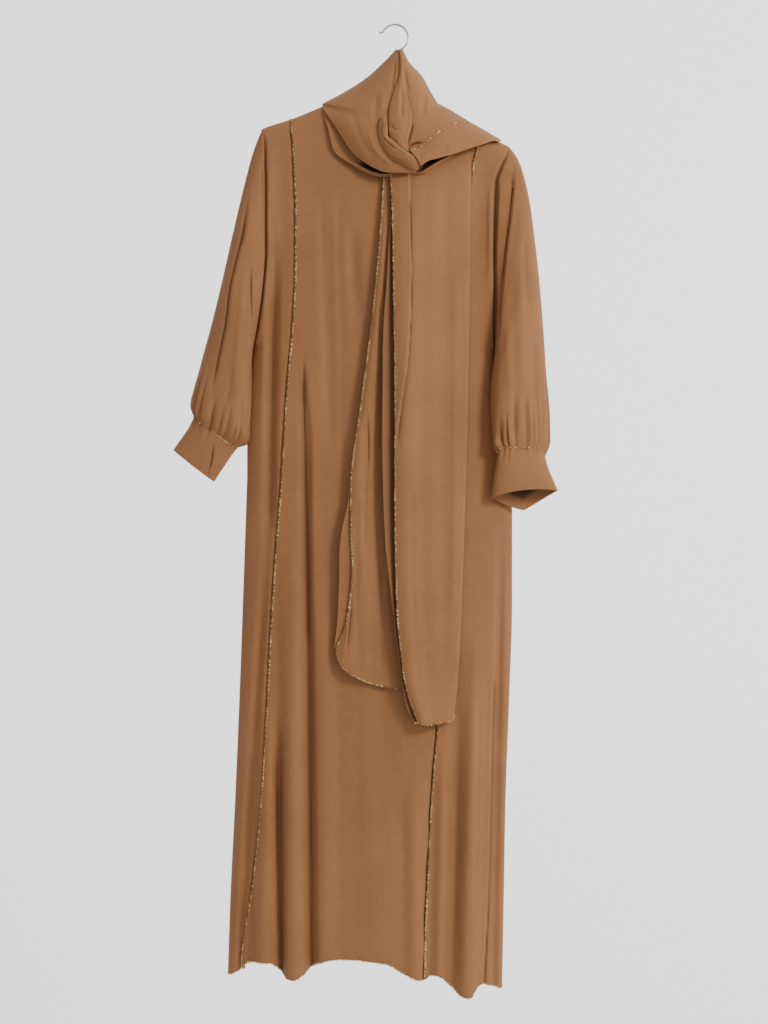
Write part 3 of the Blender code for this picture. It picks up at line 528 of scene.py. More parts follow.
# Creases of the tails, in the columns of the front creases
LEFT_TAIL_CREASES = (
    (4, -1.8, 1.0, -27, 440, -24, 470, -22, 540),
    (1.8, -3.0, 1.6, -54, 644, -50, 639, -46, 647, -44, 670, -43, 706, -45, 759),
    (6, -2.4, 1.0, -50, 640, -48, 700, -47, 770, -49, 890),
    (1.6, -2.6, -2.2, -70, 925, -73, 972, -78, 1022, -81, 1062),
    (7, 1.8, 0.0, -45, 900, -46, 1000, -48, 1100),
    (6, -2.0, 0.0, -21, 860, -21, 980, -24, 1090),
    (7, -1.8, 0.0, -61, 760, -63, 900, -62, 1080),
)
RIGHT_TAIL_CREASES = (
    (1.4, -3.8, -3.0, 22, 225, 24, 291, 25, 358, 26, 424, 24, 507, 20, 570, 12, 623, 3, 690, 0, 712),
    (14, 1.2, 0.0, 60, 300, 58, 500, 56, 760, 60, 1080),
    (12, -1.0, 0.0, 44, 560, 42, 760, 44, 960, 50, 1140),
    (12, -1.0, 0.0, 82, 260, 84, 480, 80, 760, 78, 1080),
    (8, 1.4, 0.0, 100, 420, 98, 700, 94, 980),
    (7, -1.4, 0.0, 26, 760, 28, 940, 40, 1120),
)


class Side(Enum):
    """Left or right of the garment as it is seen from the front."""

    LEFT = "left"
    RIGHT = "right"


class Face(Enum):
    """Front or back of the body, as the sign of its depth."""

    FRONT = -1
    BACK = 1


class Line(Enum):
    """Line down the body that columns of the panels follow.

    Its value is a kind, then its column in the table of that kind, or for an edge its angle in half turns.
    """

    LEFT_EDGE = ("edge", 0)
    LEFT_SIDE = ("fold", 1)
    LEFT_SEAM = ("seam", 1)
    LEFT_OF_CENTRE = ("fold", 2)
    CENTRE_FOLD = ("fold", 3)
    RIGHT_SEAM = ("seam", 2)
    RIGHT_SIDE_FOLD = ("fold", 4)
    RIGHT_EDGE_FOLD = ("fold", 5)
    RIGHT_EDGE = ("edge", 1)


class Track:
    """Smooth reading of one column of a table against its first, without overshoot."""

    def __init__(self, rows: Table, column: int) -> None:
        """Work out the slopes at the rows.

        Args:
            rows: Rows of the table, with rising first values.
            column: Number of the column to read.
        """
        self.key = np.array([row[0] for row in rows], float)
        self.value = np.array([row[column] for row in rows], float)
        self.step = np.diff(self.key)
        slope = np.diff(self.value) / self.step
        self.rate = np.zeros_like(self.value)
        self.rate[0] = slope[0]
        self.rate[-1] = slope[-1]
        total = slope[:-1] + slope[1:]
        total = np.where(np.abs(total) < 1e-9, 1e-9, total)
        product = slope[:-1] * slope[1:]
        self.rate[1:-1] = np.where(product > 0, 2 * product / total, 0.0)

    def __call__(self, at: np.ndarray) -> np.ndarray:
        """Value of the column at one place or many.

        Args:
            at: Places along the first column.

        Returns:
            The values there, held at both ends of the table.
        """
        at = np.clip(np.asarray(at, float), self.key[0], self.key[-1])
        index = np.clip(np.searchsorted(self.key, at) - 1, 0, len(self.step) - 1)
        step = self.step[index]
        part = (at - self.key[index]) / step
        rest = 1 - part
        low = self.value[index] * rest ** 2 * (1 + 2 * part)
        high = self.value[index + 1] * part ** 2 * (3 - 2 * part)
        bend = self.rate[index] * rest - self.rate[index + 1] * part
        return low + high + step * part * rest * bend


def eased(low: float, high: float, at: np.ndarray) -> np.ndarray:
    """Soft step.

    Args:
        low: Where the step leaves 0.
        high: Where it reaches 1.
        at: Places to read.

    Returns:
        Values from 0 to 1.
    """
    part = np.clip((np.asarray(at, float) - low) / (high - low), 0, 1)
    return part * part * (3 - 2 * part)


def in_scene(name: str, data: bpy.types.ID) -> bpy.types.Object:
    """New object of the scene that holds the given data."""
    thing = bpy.data.objects.new(name, data)
    bpy.context.scene.collection.objects.link(thing)
    return thing


def plain_mesh(carrier: bpy.types.Object, name: str) -> bpy.types.Mesh:
    """Mesh of what a curve or a modifier makes. The object that carried it is removed.

    Args:
        carrier: The object.
        name: Name of the mesh.

    Returns:
        The mesh.
    """
    graph = bpy.context.evaluated_depsgraph_get()
    mesh = bpy.data.meshes.new_from_object(carrier.evaluated_get(graph), depsgraph=graph)
    mesh.name = name
    carrier.modifiers.clear()
    bpy.data.objects.remove(carrier, do_unlink=True)
    return mesh


def spread(table: Table, steps: int, corners: tuple[int, ...] = ()) -> np.ndarray:
    """Rows of a table with smooth steps between them.

    Args:
        table: Rows of numbers.
        steps: Steps from each row to the next.
        corners: Rows where the line may turn a corner.

    Returns:
        The finer rows.
    """
    rows = np.array(table, float)
    ends = (0, *corners, len(rows) - 1)
    parts = [rows[:1]]
    for first, last in zip(ends[:-1], ends[1:]):
        part = rows[first:last + 1]
        padded = np.vstack([2 * part[0] - part[1], part, 2 * part[-1] - part[-2]])
        for index in range(last - first):
            before, start, end, after = padded[index:index + 4]
            for step in range(1, steps + 1):
                at = step / steps
                bend = 2 * before - 5 * start + 4 * end - after
                turn = 3 * start - before - 3 * end + after
                parts.append([start + 0.5 * at * (end - before + at * (bend + at * turn))])
    return np.vstack(parts)


@dataclass(frozen=True)
class Crease:
    """One fold of the cloth along a line.

    A height lifts a rounded ridge or sinks a valley, half wide to each side. A lap lays the cloth
    on the left of the line, as it runs, over that on its right, and fades within its reach.
    """

    half: float
    height: float
    lap: float
    path: tuple[float, ...]
    reach: float
    fade: float
    edge: float = 1.0

    def lift(self, across: np.ndarray, drop: np.ndarray) -> np.ndarray:
        """Height of the crease at places on the cloth.

        Args:
            across: Places across.
            drop: Drops of the same places.

        Returns:
            Heights forwards.
        """
        across, drop = np.broadcast_arrays(across, drop)
        total = np.zeros(across.shape)
        line = spread(list(zip(self.path[0::2], self.path[1::2])), PATH_STEPS)
        away = 2.4 * self.half + (3.0 * self.reach if self.lap else 0.0)
        low, high = line.min(axis=0) - away, line.max(axis=0) + away
        near = (across > low[0]) & (across < high[0]) & (drop > low[1]) & (drop < high[1])
        if not near.any():
            return total
        gap = np.stack([across[near], drop[near]], axis=1)[:, None, :] - line[None, :, :]
        nearest = np.argmin(np.sum(gap ** 2, axis=2), axis=1)
        gap = gap[np.arange(len(gap)), nearest]
        step = np.linalg.norm(np.diff(line, axis=0), axis=1)
        length = np.concatenate([[0.0], np.cumsum(step)])
        way = np.gradient(line, axis=0)
        way = (way / np.linalg.norm(way, axis=1, keepdims=True))[nearest]
        aside = gap[:, 0] * way[:, 1] - gap[:, 1] * way[:, 0]
        along = length[nearest] + np.sum(gap * way, axis=1)
        fade = min(self.fade, 0.4 * length[-1])
        shown = eased(0.0, fade, along)
        if self.path[-1] < RUNS_OUT:
            shown = shown * (1 - eased(length[-1] - fade, length[-1], along))
        ridge = self.height * np.exp(-1.4 * (aside / self.half) ** 2)
        lapped = self.lap * np.tanh(aside / self.edge) * np.exp(-np.abs(aside) / self.reach)
        total[near] = shown * (ridge + lapped)
        return total


def creases(table: Table, reach: float = 12.0, fade: float = 55.0) -> tuple[Crease, ...]:
    """Creases of a table.

    Args:
        table: Rows of half width, height, lap, then across and drop by turns.
        reach: How far a lap reaches.
        fade: Length over which each end fades.

    Returns:
        The creases.
    """
    return tuple(Crease(row[0], row[1], row[2], tuple(row[3:]), reach, fade) for row in table)


def crease_lift(folds: Sequence[Crease], across: np.ndarray, drop: np.ndarray) -> np.ndarray:
    """Sum of several creases.

    Args:
        folds: The creases.
        across: Places across.
        drop: Drops of the same places.

    Returns:
        Heights forwards.
    """
    total = np.zeros(np.broadcast(across, drop).shape)
    for fold in folds:
        total = total + fold.lift(across, drop)
    return total


def crease_shade(lift: np.ndarray) -> np.ndarray:
    """Painted shade in the valley of a crease: how dark the cloth is painted there, from its height."""
    return np.clip(VALLEY_DARK * (-lift - VALLEY_START), 0.0, VALLEY_MOST)


def groove_shade(away: np.ndarray, drop: np.ndarray) -> np.ndarray:
    """Painted shade beside an armhole seam: how dark the cloth is painted at a distance from it."""
    return GROOVE_DARK * np.exp(-(away / GROOVE_DARK_HALF) ** 2) * eased(*GROOVE_DARK_FROM, drop)


def ripple(across: np.ndarray, drop: np.ndarray, seed: float, height: float) -> np.ndarray:
    """Uneven shallow waves of hanging cloth, long down it and narrow across.

    Args:
        across: Places across.
        drop: Drops of the same places.
        seed: Shift that makes one piece differ from the next.
        height: Height of the waves.

    Returns:
        Heights forwards.
    """
    wander = 5 * np.sin(drop / 163 + seed) + 3 * np.sin(drop / 71 + 2.3 * seed)
    place = across + wander
    wide = np.sin(place / 8.7 + seed) * (0.55 + 0.45 * np.sin(drop / 131 + 1.7 * seed + place / 60))
    middle = np.sin(place / 4.9 + 2.1 * seed) * (0.5 + 0.5 * np.sin(drop / 83 + 3.1 * seed - place / 37))
    low = np.sin(place / 17 + 0.7 * seed + drop / 210)
    return height * (0.55 * wide + 0.25 * middle + 0.6 * low)


def puckers(aside: np.ndarray, along: np.ndarray, seed: float, height: float) -> np.ndarray:
    """Small uneven puckers beside a sewn edge.

    Args:
        aside: Distances from the seam.
        along: Distances along it.
        seed: Shift that makes one seam differ from the next.
        height: Height of the puckers.

    Returns:
        Heights off the cloth.
    """
    wander = np.sin(along / (2.7 * PUCKER_PITCH) + seed) + np.sin(along / (1.6 * PUCKER_PITCH) + 2 * seed)
    swing = np.sin(2 * math.pi * along / PUCKER_PITCH + 1.7 * wander + 0.12 * aside)
    strength = 0.55 + 0.45 * np.sin(along / 67 + seed)
    return height * strength * swing * np.exp(-np.abs(aside) / 9.0)


def seen(across: np.ndarray, depth: np.ndarray, drop: np.ndarray) -> np.ndarray:
    """Points that show at the given places when the garment is looked at from the front.

    Args:
        across: Places across, as they show.
        depth: Depths.
        drop: Drops, as they show.

    Returns:
        The points.
    """
    nearer = (VIEW_DISTANCE + depth) / VIEW_DISTANCE
    middle = VIEW_ACROSS + (across - VIEW_ACROSS) * nearer
    return np.stack([middle, depth, -(VIEW_DROP + (drop - VIEW_DROP) * nearer)], axis=2)


def laid_on(
    grid: np.ndarray, under: Sequence[np.ndarray], clear: float = 1.7, ahead: float = 400.0, rounds: int = 6
) -> np.ndarray:
    """A stretch of cloth moved forwards where it would meet the cloth under it.

    Args:
        grid: Points of the stretch.
        under: Points of the stretches under it.
        clear: Least distance kept.
        ahead: Distance in front of the garment that it is measured from.
        rounds: How often the move is softened.

    Returns:
        The moved points.
    """
    push = np.zeros(grid.shape[:2])
    for sheet in under:
        rows, columns = sheet.shape[:2]
        index = np.arange(rows * columns).reshape(rows, columns)
        corners = (index[:-1, :-1], index[:-1, 1:], index[1:, 1:], index[1:, :-1])
        quads = np.stack([corner.ravel() for corner in corners], axis=1).tolist()
        tree = BVHTree.FromPolygons(sheet.reshape(-1, 3).tolist(), quads)
        for row, column in np.ndindex(*push.shape):
            point = grid[row, column]
            hit = tree.ray_cast((point[0], -ahead, point[2]), (0.0, 1.0, 0.0))[0]
            if hit is not None:
                push[row, column] = max(push[row, column], point[1] - hit[1] + clear)
    soft = push.copy()
    for _ in range(rounds):
        padded = np.pad(soft, 1, mode="edge")
        soft = (padded[:-2, 1:-1] + padded[2:, 1:-1] + padded[1:-1, :-2] + padded[1:-1, 2:] + 2 * soft) / 6
        soft = np.maximum(soft, push)
    moved = grid.copy()
    moved[:, :, 1] -= soft
    return moved


@dataclass
class ClothPiece:
    """One cut piece of cloth as a thin closed shell.

    Its grid is the outer face, row by row from the top, and facing is 1 or -1 so that the normals
    point outwards. sewn names the edges that carry a seam or a rolled hem, and turned counts the
    columns turned under at the left. shaded is painted shade, how dark each point is painted where it
    lies in a fold or under a layer, and inside paints the same shade on the inner face, setting in
    between the two distances of mouth from its foot.
    """

    name: str
    node: str
    grid: np.ndarray
    facing: int
    closed: bool = False
    thickness: float = 1.1
    sewn: tuple[str, ...] = ()
    turned: int = 0
    shaded: np.ndarray | float = 0.0
    inside: float = 0.0
    mouth: tuple[float, float] = (14.0, 25.0)
    sharp: float = 62.0

    def normals(self) -> np.ndarray:
        """Unit normals of the outer face."""
        down = np.gradient(self.grid, axis=0)
        if self.closed:
            along = np.roll(self.grid, -1, axis=1) - np.roll(self.grid, 1, axis=1)
        else:
            along = np.gradient(self.grid, axis=1)
        if self.turned:
            along[:, :self.turned] = np.gradient(self.grid[:, :self.turned], axis=1)
            along[:, self.turned:] = np.gradient(self.grid[:, self.turned:], axis=1)
        normal = np.cross(down, along) * self.facing
        return normal / np.maximum(np.linalg.norm(normal, axis=2, keepdims=True), 1e-9)

    def lengths(self, axis: int) -> np.ndarray:
        """Distance of every point from the start of its row or column.

        Args:
            axis: 0 to measure down the columns, 1 to measure along the rows.

        Returns:
            Distances in the shape of the grid.
        """
        step = np.linalg.norm(np.diff(self.grid, axis=axis), axis=2)
        start = np.zeros((1, step.shape[1])) if axis == 0 else np.zeros((step.shape[0], 1))
        return np.concatenate([start, np.cumsum(step, axis=axis)], axis=axis)

    def seam_distance(self) -> np.ndarray:
        """Distance of every point from the nearest sewn edge."""
        along, down = self.lengths(1), self.lengths(0)
        gaps = {
            "left": np.abs(along - along[:, self.turned:self.turned + 1]),
            "top": down,
            "foot": down[-1:, :] - down,
        }
        nearest = np.full(along.shape, 200.0)
        for edge in self.sewn:
            nearest = np.minimum(nearest, gaps[edge])
        return nearest

    def faces(self) -> list[tuple[int, ...]]:
        """Faces of the outer wall, the inner wall and the rims."""
        rows, columns = self.grid.shape[:2]
        offset = rows * columns
        index = np.arange(offset).reshape(rows, columns)
        if self.closed:
            index = np.concatenate([index, index[:, :1]], axis=1)
        here, beside = index[:-1, :-1].ravel(), index[:-1, 1:].ravel()
        below, across = index[1:, :-1].ravel(), index[1:, 1:].ravel()
        outer = np.stack([here, beside, across, below], axis=1)
        inner = offset + outer[:, ::-1]
        top, foot, left, right = index[0], index[-1], index[:, 0], index[:, -1]
        rims = [(top[:-1], offset + top[:-1], offset + top[1:], top[1:])]
        rims.append((foot[:-1], foot[1:], offset + foot[1:], offset + foot[:-1]))
        if not self.closed:
            rims.append((left[:-1], left[1:], offset + left[1:], offset + left[:-1]))
            rims.append((right[:-1], offset + right[:-1], offset + right[1:], right[1:]))
        rims = [np.stack(rim, axis=1) for rim in rims]
        return [tuple(face) for face in np.vstack([outer, inner, *rims]).tolist()]

    def build(self) -> bpy.types.Object:
        """Make the shell.

        Returns:
            The object, smooth, with a map in metres and its distance from the sewing.
        """
        inner = self.grid - self.thickness * self.normals()
        points = np.vstack([self.grid.reshape(-1, 3), inner.reshape(-1, 3)]) / 1000.0
        mesh = bpy.data.meshes.new(self.name)
        mesh.from_pydata(points.tolist(), [], self.faces())
        width = np.tile(self.lengths(1).ravel(), 2) / 1000.0
        length = np.tile(self.lengths(0).ravel(), 2) / 1000.0
        corner = np.zeros(len(mesh.loops), np.int32)
        mesh.loops.foreach_get("vertex_index", corner)
        chart = mesh.uv_layers.new(name="cloth")
        laid_flat = np.stack([width[corner], length[corner]], axis=1)
        chart.data.foreach_set("uv", laid_flat.ravel().astype(np.float32))
        sewing = mesh.attributes.new("sewing", "FLOAT", "POINT")
        sewing.data.foreach_set("value", np.tile(self.seam_distance().ravel(), 2).astype(np.float32))
        # Painted shade: of the outer face as given, and of the inner face, darkening away from the foot by
        # inside
        outer = self.shaded * np.ones(self.grid.shape[:2])
        down = self.lengths(0)
        within = np.maximum(outer, self.inside * eased(*self.mouth, down[-1:] - down))
        shaded = mesh.attributes.new("shaded", "FLOAT", "POINT")
        shaded.data.foreach_set("value", np.concatenate([outer.ravel(), within.ravel()]).astype(np.float32))
        work = bmesh.new()
        work.from_mesh(mesh)
        bmesh.ops.remove_doubles(work, verts=work.verts, dist=2e-6)
        if work.calc_volume(signed=True) < 0:
            bmesh.ops.reverse_faces(work, faces=work.faces)
        work.to_mesh(mesh)
        work.free()
        mesh.shade_smooth()
        mesh.set_sharp_from_angle(angle=math.radians(self.sharp))
        return in_scene(self.name, mesh)


@dataclass(frozen=True)
class Cut:
    """Flat size of a piece in metres, the share of that rectangle that is cloth, and how it is held."""

    width: float
    length: float
    share: float
    held: str
    rests_on: tuple[str, ...]


# Edges with gold thread: node, edge
GARMENT_GOLD = (
    ("front_centre", "left"),
    ("front_side_right", "left"),
    ("front_side_left", "foot"),
    ("front_centre", "foot"),
    ("front_side_right", "foot"),
    ("back_panel", "foot"),
    ("cuff_left", "top"),
    ("cuff_right", "top"),
)
SHAWL_GOLD = (
    ("tail_left", "left"),
    ("tail_left", "foot"),
    ("tail_right", "left"),
    ("tail_right", "foot"),
    ("shawl_band", "left"),
    ("shawl_back", "foot"),
)


class Shade:
    """Number socket of a material. Its operators add Math nodes."""

    def __init__(self, book: "NodeBook", socket: bpy.types.NodeSocket) -> None:
        """Keep the socket and the tree it belongs to."""
        self.book = book
        self.socket = socket

    def math(self, operation: str, *values: "Shade | float", swap: bool = False) -> "Shade":
        """Result of one Math node.

        Args:
            operation: Name of the operation.
            values: The other values.
            swap: Whether this socket comes second.

        Returns:
            The new value.
        """
        order = [self, *values]
        if swap:
            order = [*values, self]
        node = self.book.add("ShaderNodeMath", {"operation": operation}, dict(enumerate(order)))
        return Shade(self.book, node.outputs[0])

    def __add__(self, other: "Shade | float") -> "Shade":
        """Sum."""
        return self.math("ADD", other)

    def __radd__(self, other: float) -> "Shade":
        """Sum, from the left."""
        return self.math("ADD", other)

    def __sub__(self, other: "Shade | float") -> "Shade":
        """Difference."""
        return self.math("SUBTRACT", other)

    def __rsub__(self, other: float) -> "Shade":
        """Difference, from the left."""
        return self.math("SUBTRACT", other, swap=True)

    def __mul__(self, other: "Shade | float") -> "Shade":
        """Product."""
        return self.math("MULTIPLY", other)

    def __rmul__(self, other: float) -> "Shade":
        """Product, from the left."""
        return self.math("MULTIPLY", other)

    def sine(self) -> "Shade":
        """Sine of the value."""
        return self.math("SINE")

    def between(self, low: float, high: float) -> "Shade":
        """Soft step from 0 at low to 1 at high."""
        settings = {"interpolation_type": "SMOOTHSTEP"}
        inputs = {0: self, 1: low, 2: high, 3: 0.0, 4: 1.0}
        node = self.book.add("ShaderNodeMapRange", settings, inputs)
        return Shade(self.book, node.outputs[0])


class NodeBook:
    """Node tree, filled node by node."""

    def __init__(self, tree: bpy.types.NodeTree) -> None:
        """Keep the tree."""
        self.tree = tree

    def add(self, kind: str, settings: dict | None = None, inputs: dict | None = None) -> bpy.types.Node:
        """Add a node.

        Args:
            kind: Type of the node.
            settings: Its settings, which are set first.
            inputs: Values or links of its sockets, by name or number.

        Returns:
            The node.
        """
        node = self.tree.nodes.new(kind)
        for key, value in (settings or {}).items():
            setattr(node, key, value)
        for key, value in (inputs or {}).items():
            self.plug(node.inputs[key], value)
        return node

    def plug(self, socket: bpy.types.NodeSocket, value: object) -> None:
        """Link an input socket to a value or an output socket, or set it to a number or a colour."""
        source = value.socket if isinstance(value, Shade) else value
        if isinstance(source, bpy.types.NodeSocket):
            self.tree.links.new(source, socket)
        else:
            socket.default_value = source


class Paint(NodeBook):
    """Nodes of one material, which lead to its principled shader."""

    def __init__(self, name: str) -> None:
        """Start a material of the given name, read at the object's own coordinates."""
        self.material = bpy.data.materials.new(name)
        self.material.use_nodes = True
        super().__init__(self.material.node_tree)
        self.place = self.add("ShaderNodeTexCoord").outputs["Object"]

    def read(self, name: str) -> Shade:
        """Number attribute of the mesh."""
        return Shade(self, self.add("ShaderNodeAttribute", {"attribute_name": name}).outputs["Fac"])

    def noise(self, scale: float, detail: float) -> Shade:
        """Noise from 0 to 1, with so many waves for each metre and so many finer layers."""
        inputs = {"Vector": self.place, "Scale": scale, "Detail": detail}
        return Shade(self, self.add("ShaderNodeTexNoise", None, inputs).outputs[0])

    def mix(self, factor: Shade, first: object, second: Colour) -> bpy.types.NodeSocket:
        """Blend of two colours.

        Args:
            factor: Share of the second colour.
            first: Colour or colour socket.
            second: Colour.

        Returns:
            Colour socket.
        """
        start = (*first, 1.0) if isinstance(first, tuple) else first
        node = self.add("ShaderNodeMix", {"data_type": "RGBA"}, {0: factor, 6: start, 7: (*second, 1.0)})
        return node.outputs[2]

    def bump(self, share: float, full: float, height: Shade, **under: object) -> bpy.types.NodeSocket:
        """Relief on the surface.

        Args:
            share: Share of the relief that shows.
            full: Its full height in metres.
            height: Height from 0 to 1.
            under: Normal that it is added to.

        Returns:
            Normal socket.
        """
        inputs = {"Strength": share, "Distance": full, "Height": height, **under}
        return self.add("ShaderNodeBump", None, inputs).outputs[0]

    def finish(self, inputs: dict[str, object]) -> bpy.types.Material:
        """Material with the given inputs of its shader, by name."""
        for name, value in inputs.items():
            self.plug(self.tree.nodes["Principled BSDF"].inputs[name], value)
        return self.material


@dataclass(frozen=True)
class CrepeFinish:
    """Plain crepe: a matt twisted-yarn cloth with a fine pebbled weave."""

    name: str = "camel_crepe"
    colour: Colour = (0.306, 0.139, 0.060)
    deep: Colour = (0.250, 0.110, 0.046)
    pale: Colour = (0.350, 0.166, 0.074)
    # Colour of the painted shade in folds, recesses and under layers
    shade: Colour = (0.030, 0.012, 0.005)
    glow: Colour = (0.95, 0.72, 0.48)
    roughness: float = 0.69
    thread: float = 0.00062
    grain: float = 0.00016
    slackness: float = 0.0012

    def make(self) -> bpy.types.Material:
        """Material of the cloth, with painted shade: darker beside the sewn edges, and towards the shade
        colour where the shaded attribute says that it lies in a fold or under a layer.
        """
        book = Paint(self.name)
        chart = book.add("ShaderNodeUVMap", {"uv_map": "cloth"})
        axes = book.add("ShaderNodeSeparateXYZ", None, {0: chart.outputs[0]})
        turns = 2 * math.pi / self.thread
        sway = book.noise(900.0, 1.0) * 2.4
        weft, warp = (Shade(book, axes.outputs[axis]) for axis in (0, 1))
        weave = (weft * turns + sway).sine() * (warp * turns + sway).sine()
        cloud, slub = book.noise(7.0, 3.0), book.noise(90.0, 2.0)
        # Painted shade beside the sewn edges: the cloth darkens towards deep within a few millimetres of a
        # seam
        wear_and_seam_shade = 1.0 - book.read("sewing").between(0.5, 5.0)
        tone = book.mix(cloud.between(0.35, 0.68) * 0.55, self.colour, self.deep)
        tone = book.mix(slub.between(0.45, 0.8) * 0.32, tone, self.pale)
        tone = book.mix((weave * 0.5 + 0.5) * 0.16, tone, self.deep)
        tone = book.mix(wear_and_seam_shade * 0.22, tone, self.deep)
        fine = book.bump(0.6, self.grain, weave * 0.45 + book.noise(1500.0, 3.0) * 1.1)
        return book.finish({
            # Painted shade: the shaded attribute mixes the colour towards the shade colour
            "Base Color": book.mix(book.read("shaded"), tone, self.shade),
            "Roughness": slub * 0.1 + self.roughness,
            "Sheen Weight": 0.04,
            "Sheen Roughness": 0.45,
            "Sheen Tint": (*self.glow, 1.0),
            "Specular IOR Level": 0.12,
            "Normal": book.bump(0.35, self.slackness, book.noise(55.0, 2.0), Normal=fine),
        })


@dataclass(frozen=True)
class GoldThreadFinish:
    """Metallic overlock thread wound with a flat gold strip."""

    name: str = "gold_overlock_thread"
    # colour is that of the gold strip and its painted glints, core that of the thread elsewhere
    colour: Colour = (1.0, 0.78, 0.38)
    core: Colour = (0.30, 0.142, 0.06)

    def make(self) -> bpy.types.Material:
        """Material of the thread, brown where its core shows, and bright gold in islands of noise that are
        partly the gold strip and partly painted glints of its sparkle.
        """
        book = Paint(self.name)
        # Painted glints: bright gold spots where two noises pass a threshold
        glint = (book.noise(370.0, 0.0) + book.noise(26.0, 1.0) * 0.6).between(0.845, 0.86)
        return book.finish({
            "Base Color": book.mix(glint, self.core, self.colour),
            "Roughness": 0.6 - glint * 0.25,
            "Normal": book.bump(0.7, 0.0003, book.noise(2600.0, 2.0)),
        })


@dataclass(frozen=True)
class HardFinish:
    """Finish of a part of the hanger, with wear in patches. A noise is given by its scale and detail."""

    name: str
    colour: Colour
    wear_and_seam_shade: Colour
    patches: tuple[float, float]
    edges: tuple[float, float]
    share: float
    roughness: float
    spread: float
    relief: tuple[float, float]
    strength: float
    height: float
    metallic: float = 0.0

    def make(self) -> bpy.types.Material:
        """Material of the part."""
        book = Paint(self.name)
        patch = book.noise(*self.patches)
        return book.finish({
            "Base Color": book.mix(patch.between(*self.edges) * self.share, self.colour, self.wear_and_seam_shade),
            "Metallic": self.metallic,
            "Roughness": patch * self.spread + self.roughness,
            "Normal": book.bump(self.strength, self.height, book.noise(*self.relief)),
        })


PLATED_WIRE = HardFinish(
    name="plated_wire",
    colour=(0.56, 0.56, 0.58),
    wear_and_seam_shade=(0.30, 0.30, 0.32),
    patches=(160.0, 3.0),
    edges=(0.4, 0.75),
    share=0.6,
    roughness=0.16,
    spread=0.16,
    relief=(1400.0, 2.0),
    strength=0.2,
    height=0.0001,
    metallic=1.0,
)
MOULDED_BAR = HardFinish(
    name="moulded_bar",
    colour=(0.10, 0.09, 0.085),
    wear_and_seam_shade=(0.17, 0.155, 0.145),
    patches=(120.0, 4.0),
    edges=(0.5, 0.8),
    share=1.0,
    roughness=0.36,
    spread=0.2,
    relief=(1800.0, 2.0),
    strength=0.3,
    height=0.0002,
)


@dataclass
class Dressing:
    """Finishes of the garment, and the way a piece gets its own."""

    crepe: bpy.types.Material
    gold: bpy.types.Material

    def cloth(self, thing: bpy.types.Object, node: str, stitched: Sequence[bpy.types.Object] = ()) -> None:
        """Dress a sheet of cloth and give it its place in the frame.

        Args:
            thing: The sheet.
            node: The solid it stands for.
            stitched: Pieces sewn to it; not used.
        """
        thing.data.materials.append(self.crepe)
        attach(thing, "root")
        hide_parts(node)
        area = sum(face.area for face in thing.data.polygons) / 2
        LOG.info("%s: %d faces, %.4f square metres", thing.name, len(thing.data.polygons), area)


@dataclass
class Edge:
    """A sewn edge: its points in order, the way the cloth faces there and the way out of the cloth."""

    points: np.ndarray
    facing: np.ndarray
    outward: np.ndarray

    def ordered(self) -> "Edge":
        """The same edge, turned so that its direction, facing and outward agree."""
        along = np.gradient(self.points, axis=0)
        sign = np.sum(np.cross(along, self.facing) * self.outward)
        if sign >= 0:
            return self
        return Edge(self.points[::-1], self.facing[::-1], self.outward[::-1])


def edge_of(piece: ClothPiece, name: str) -> Edge:
    """Sewn edge of a piece of cloth.

    Args:
        piece: The piece.
        name: left, top or foot.

    Returns:
        The edge, ordered for its stitches.
    """
    places = {
        "left": ((slice(None), piece.turned), (slice(None), piece.turned + 1)),
        "top": ((0, slice(None)), (1, slice(None))),
        "foot": ((-1, slice(None)), (-2, slice(None))),
    }
    here, inside = places[name]
    normal = piece.normals()
    points = piece.grid[here] - 0.5 * piece.thickness * normal[here]
    outward = piece.grid[here] - piece.grid[inside]
    return Edge(points, normal[here], outward).ordered()


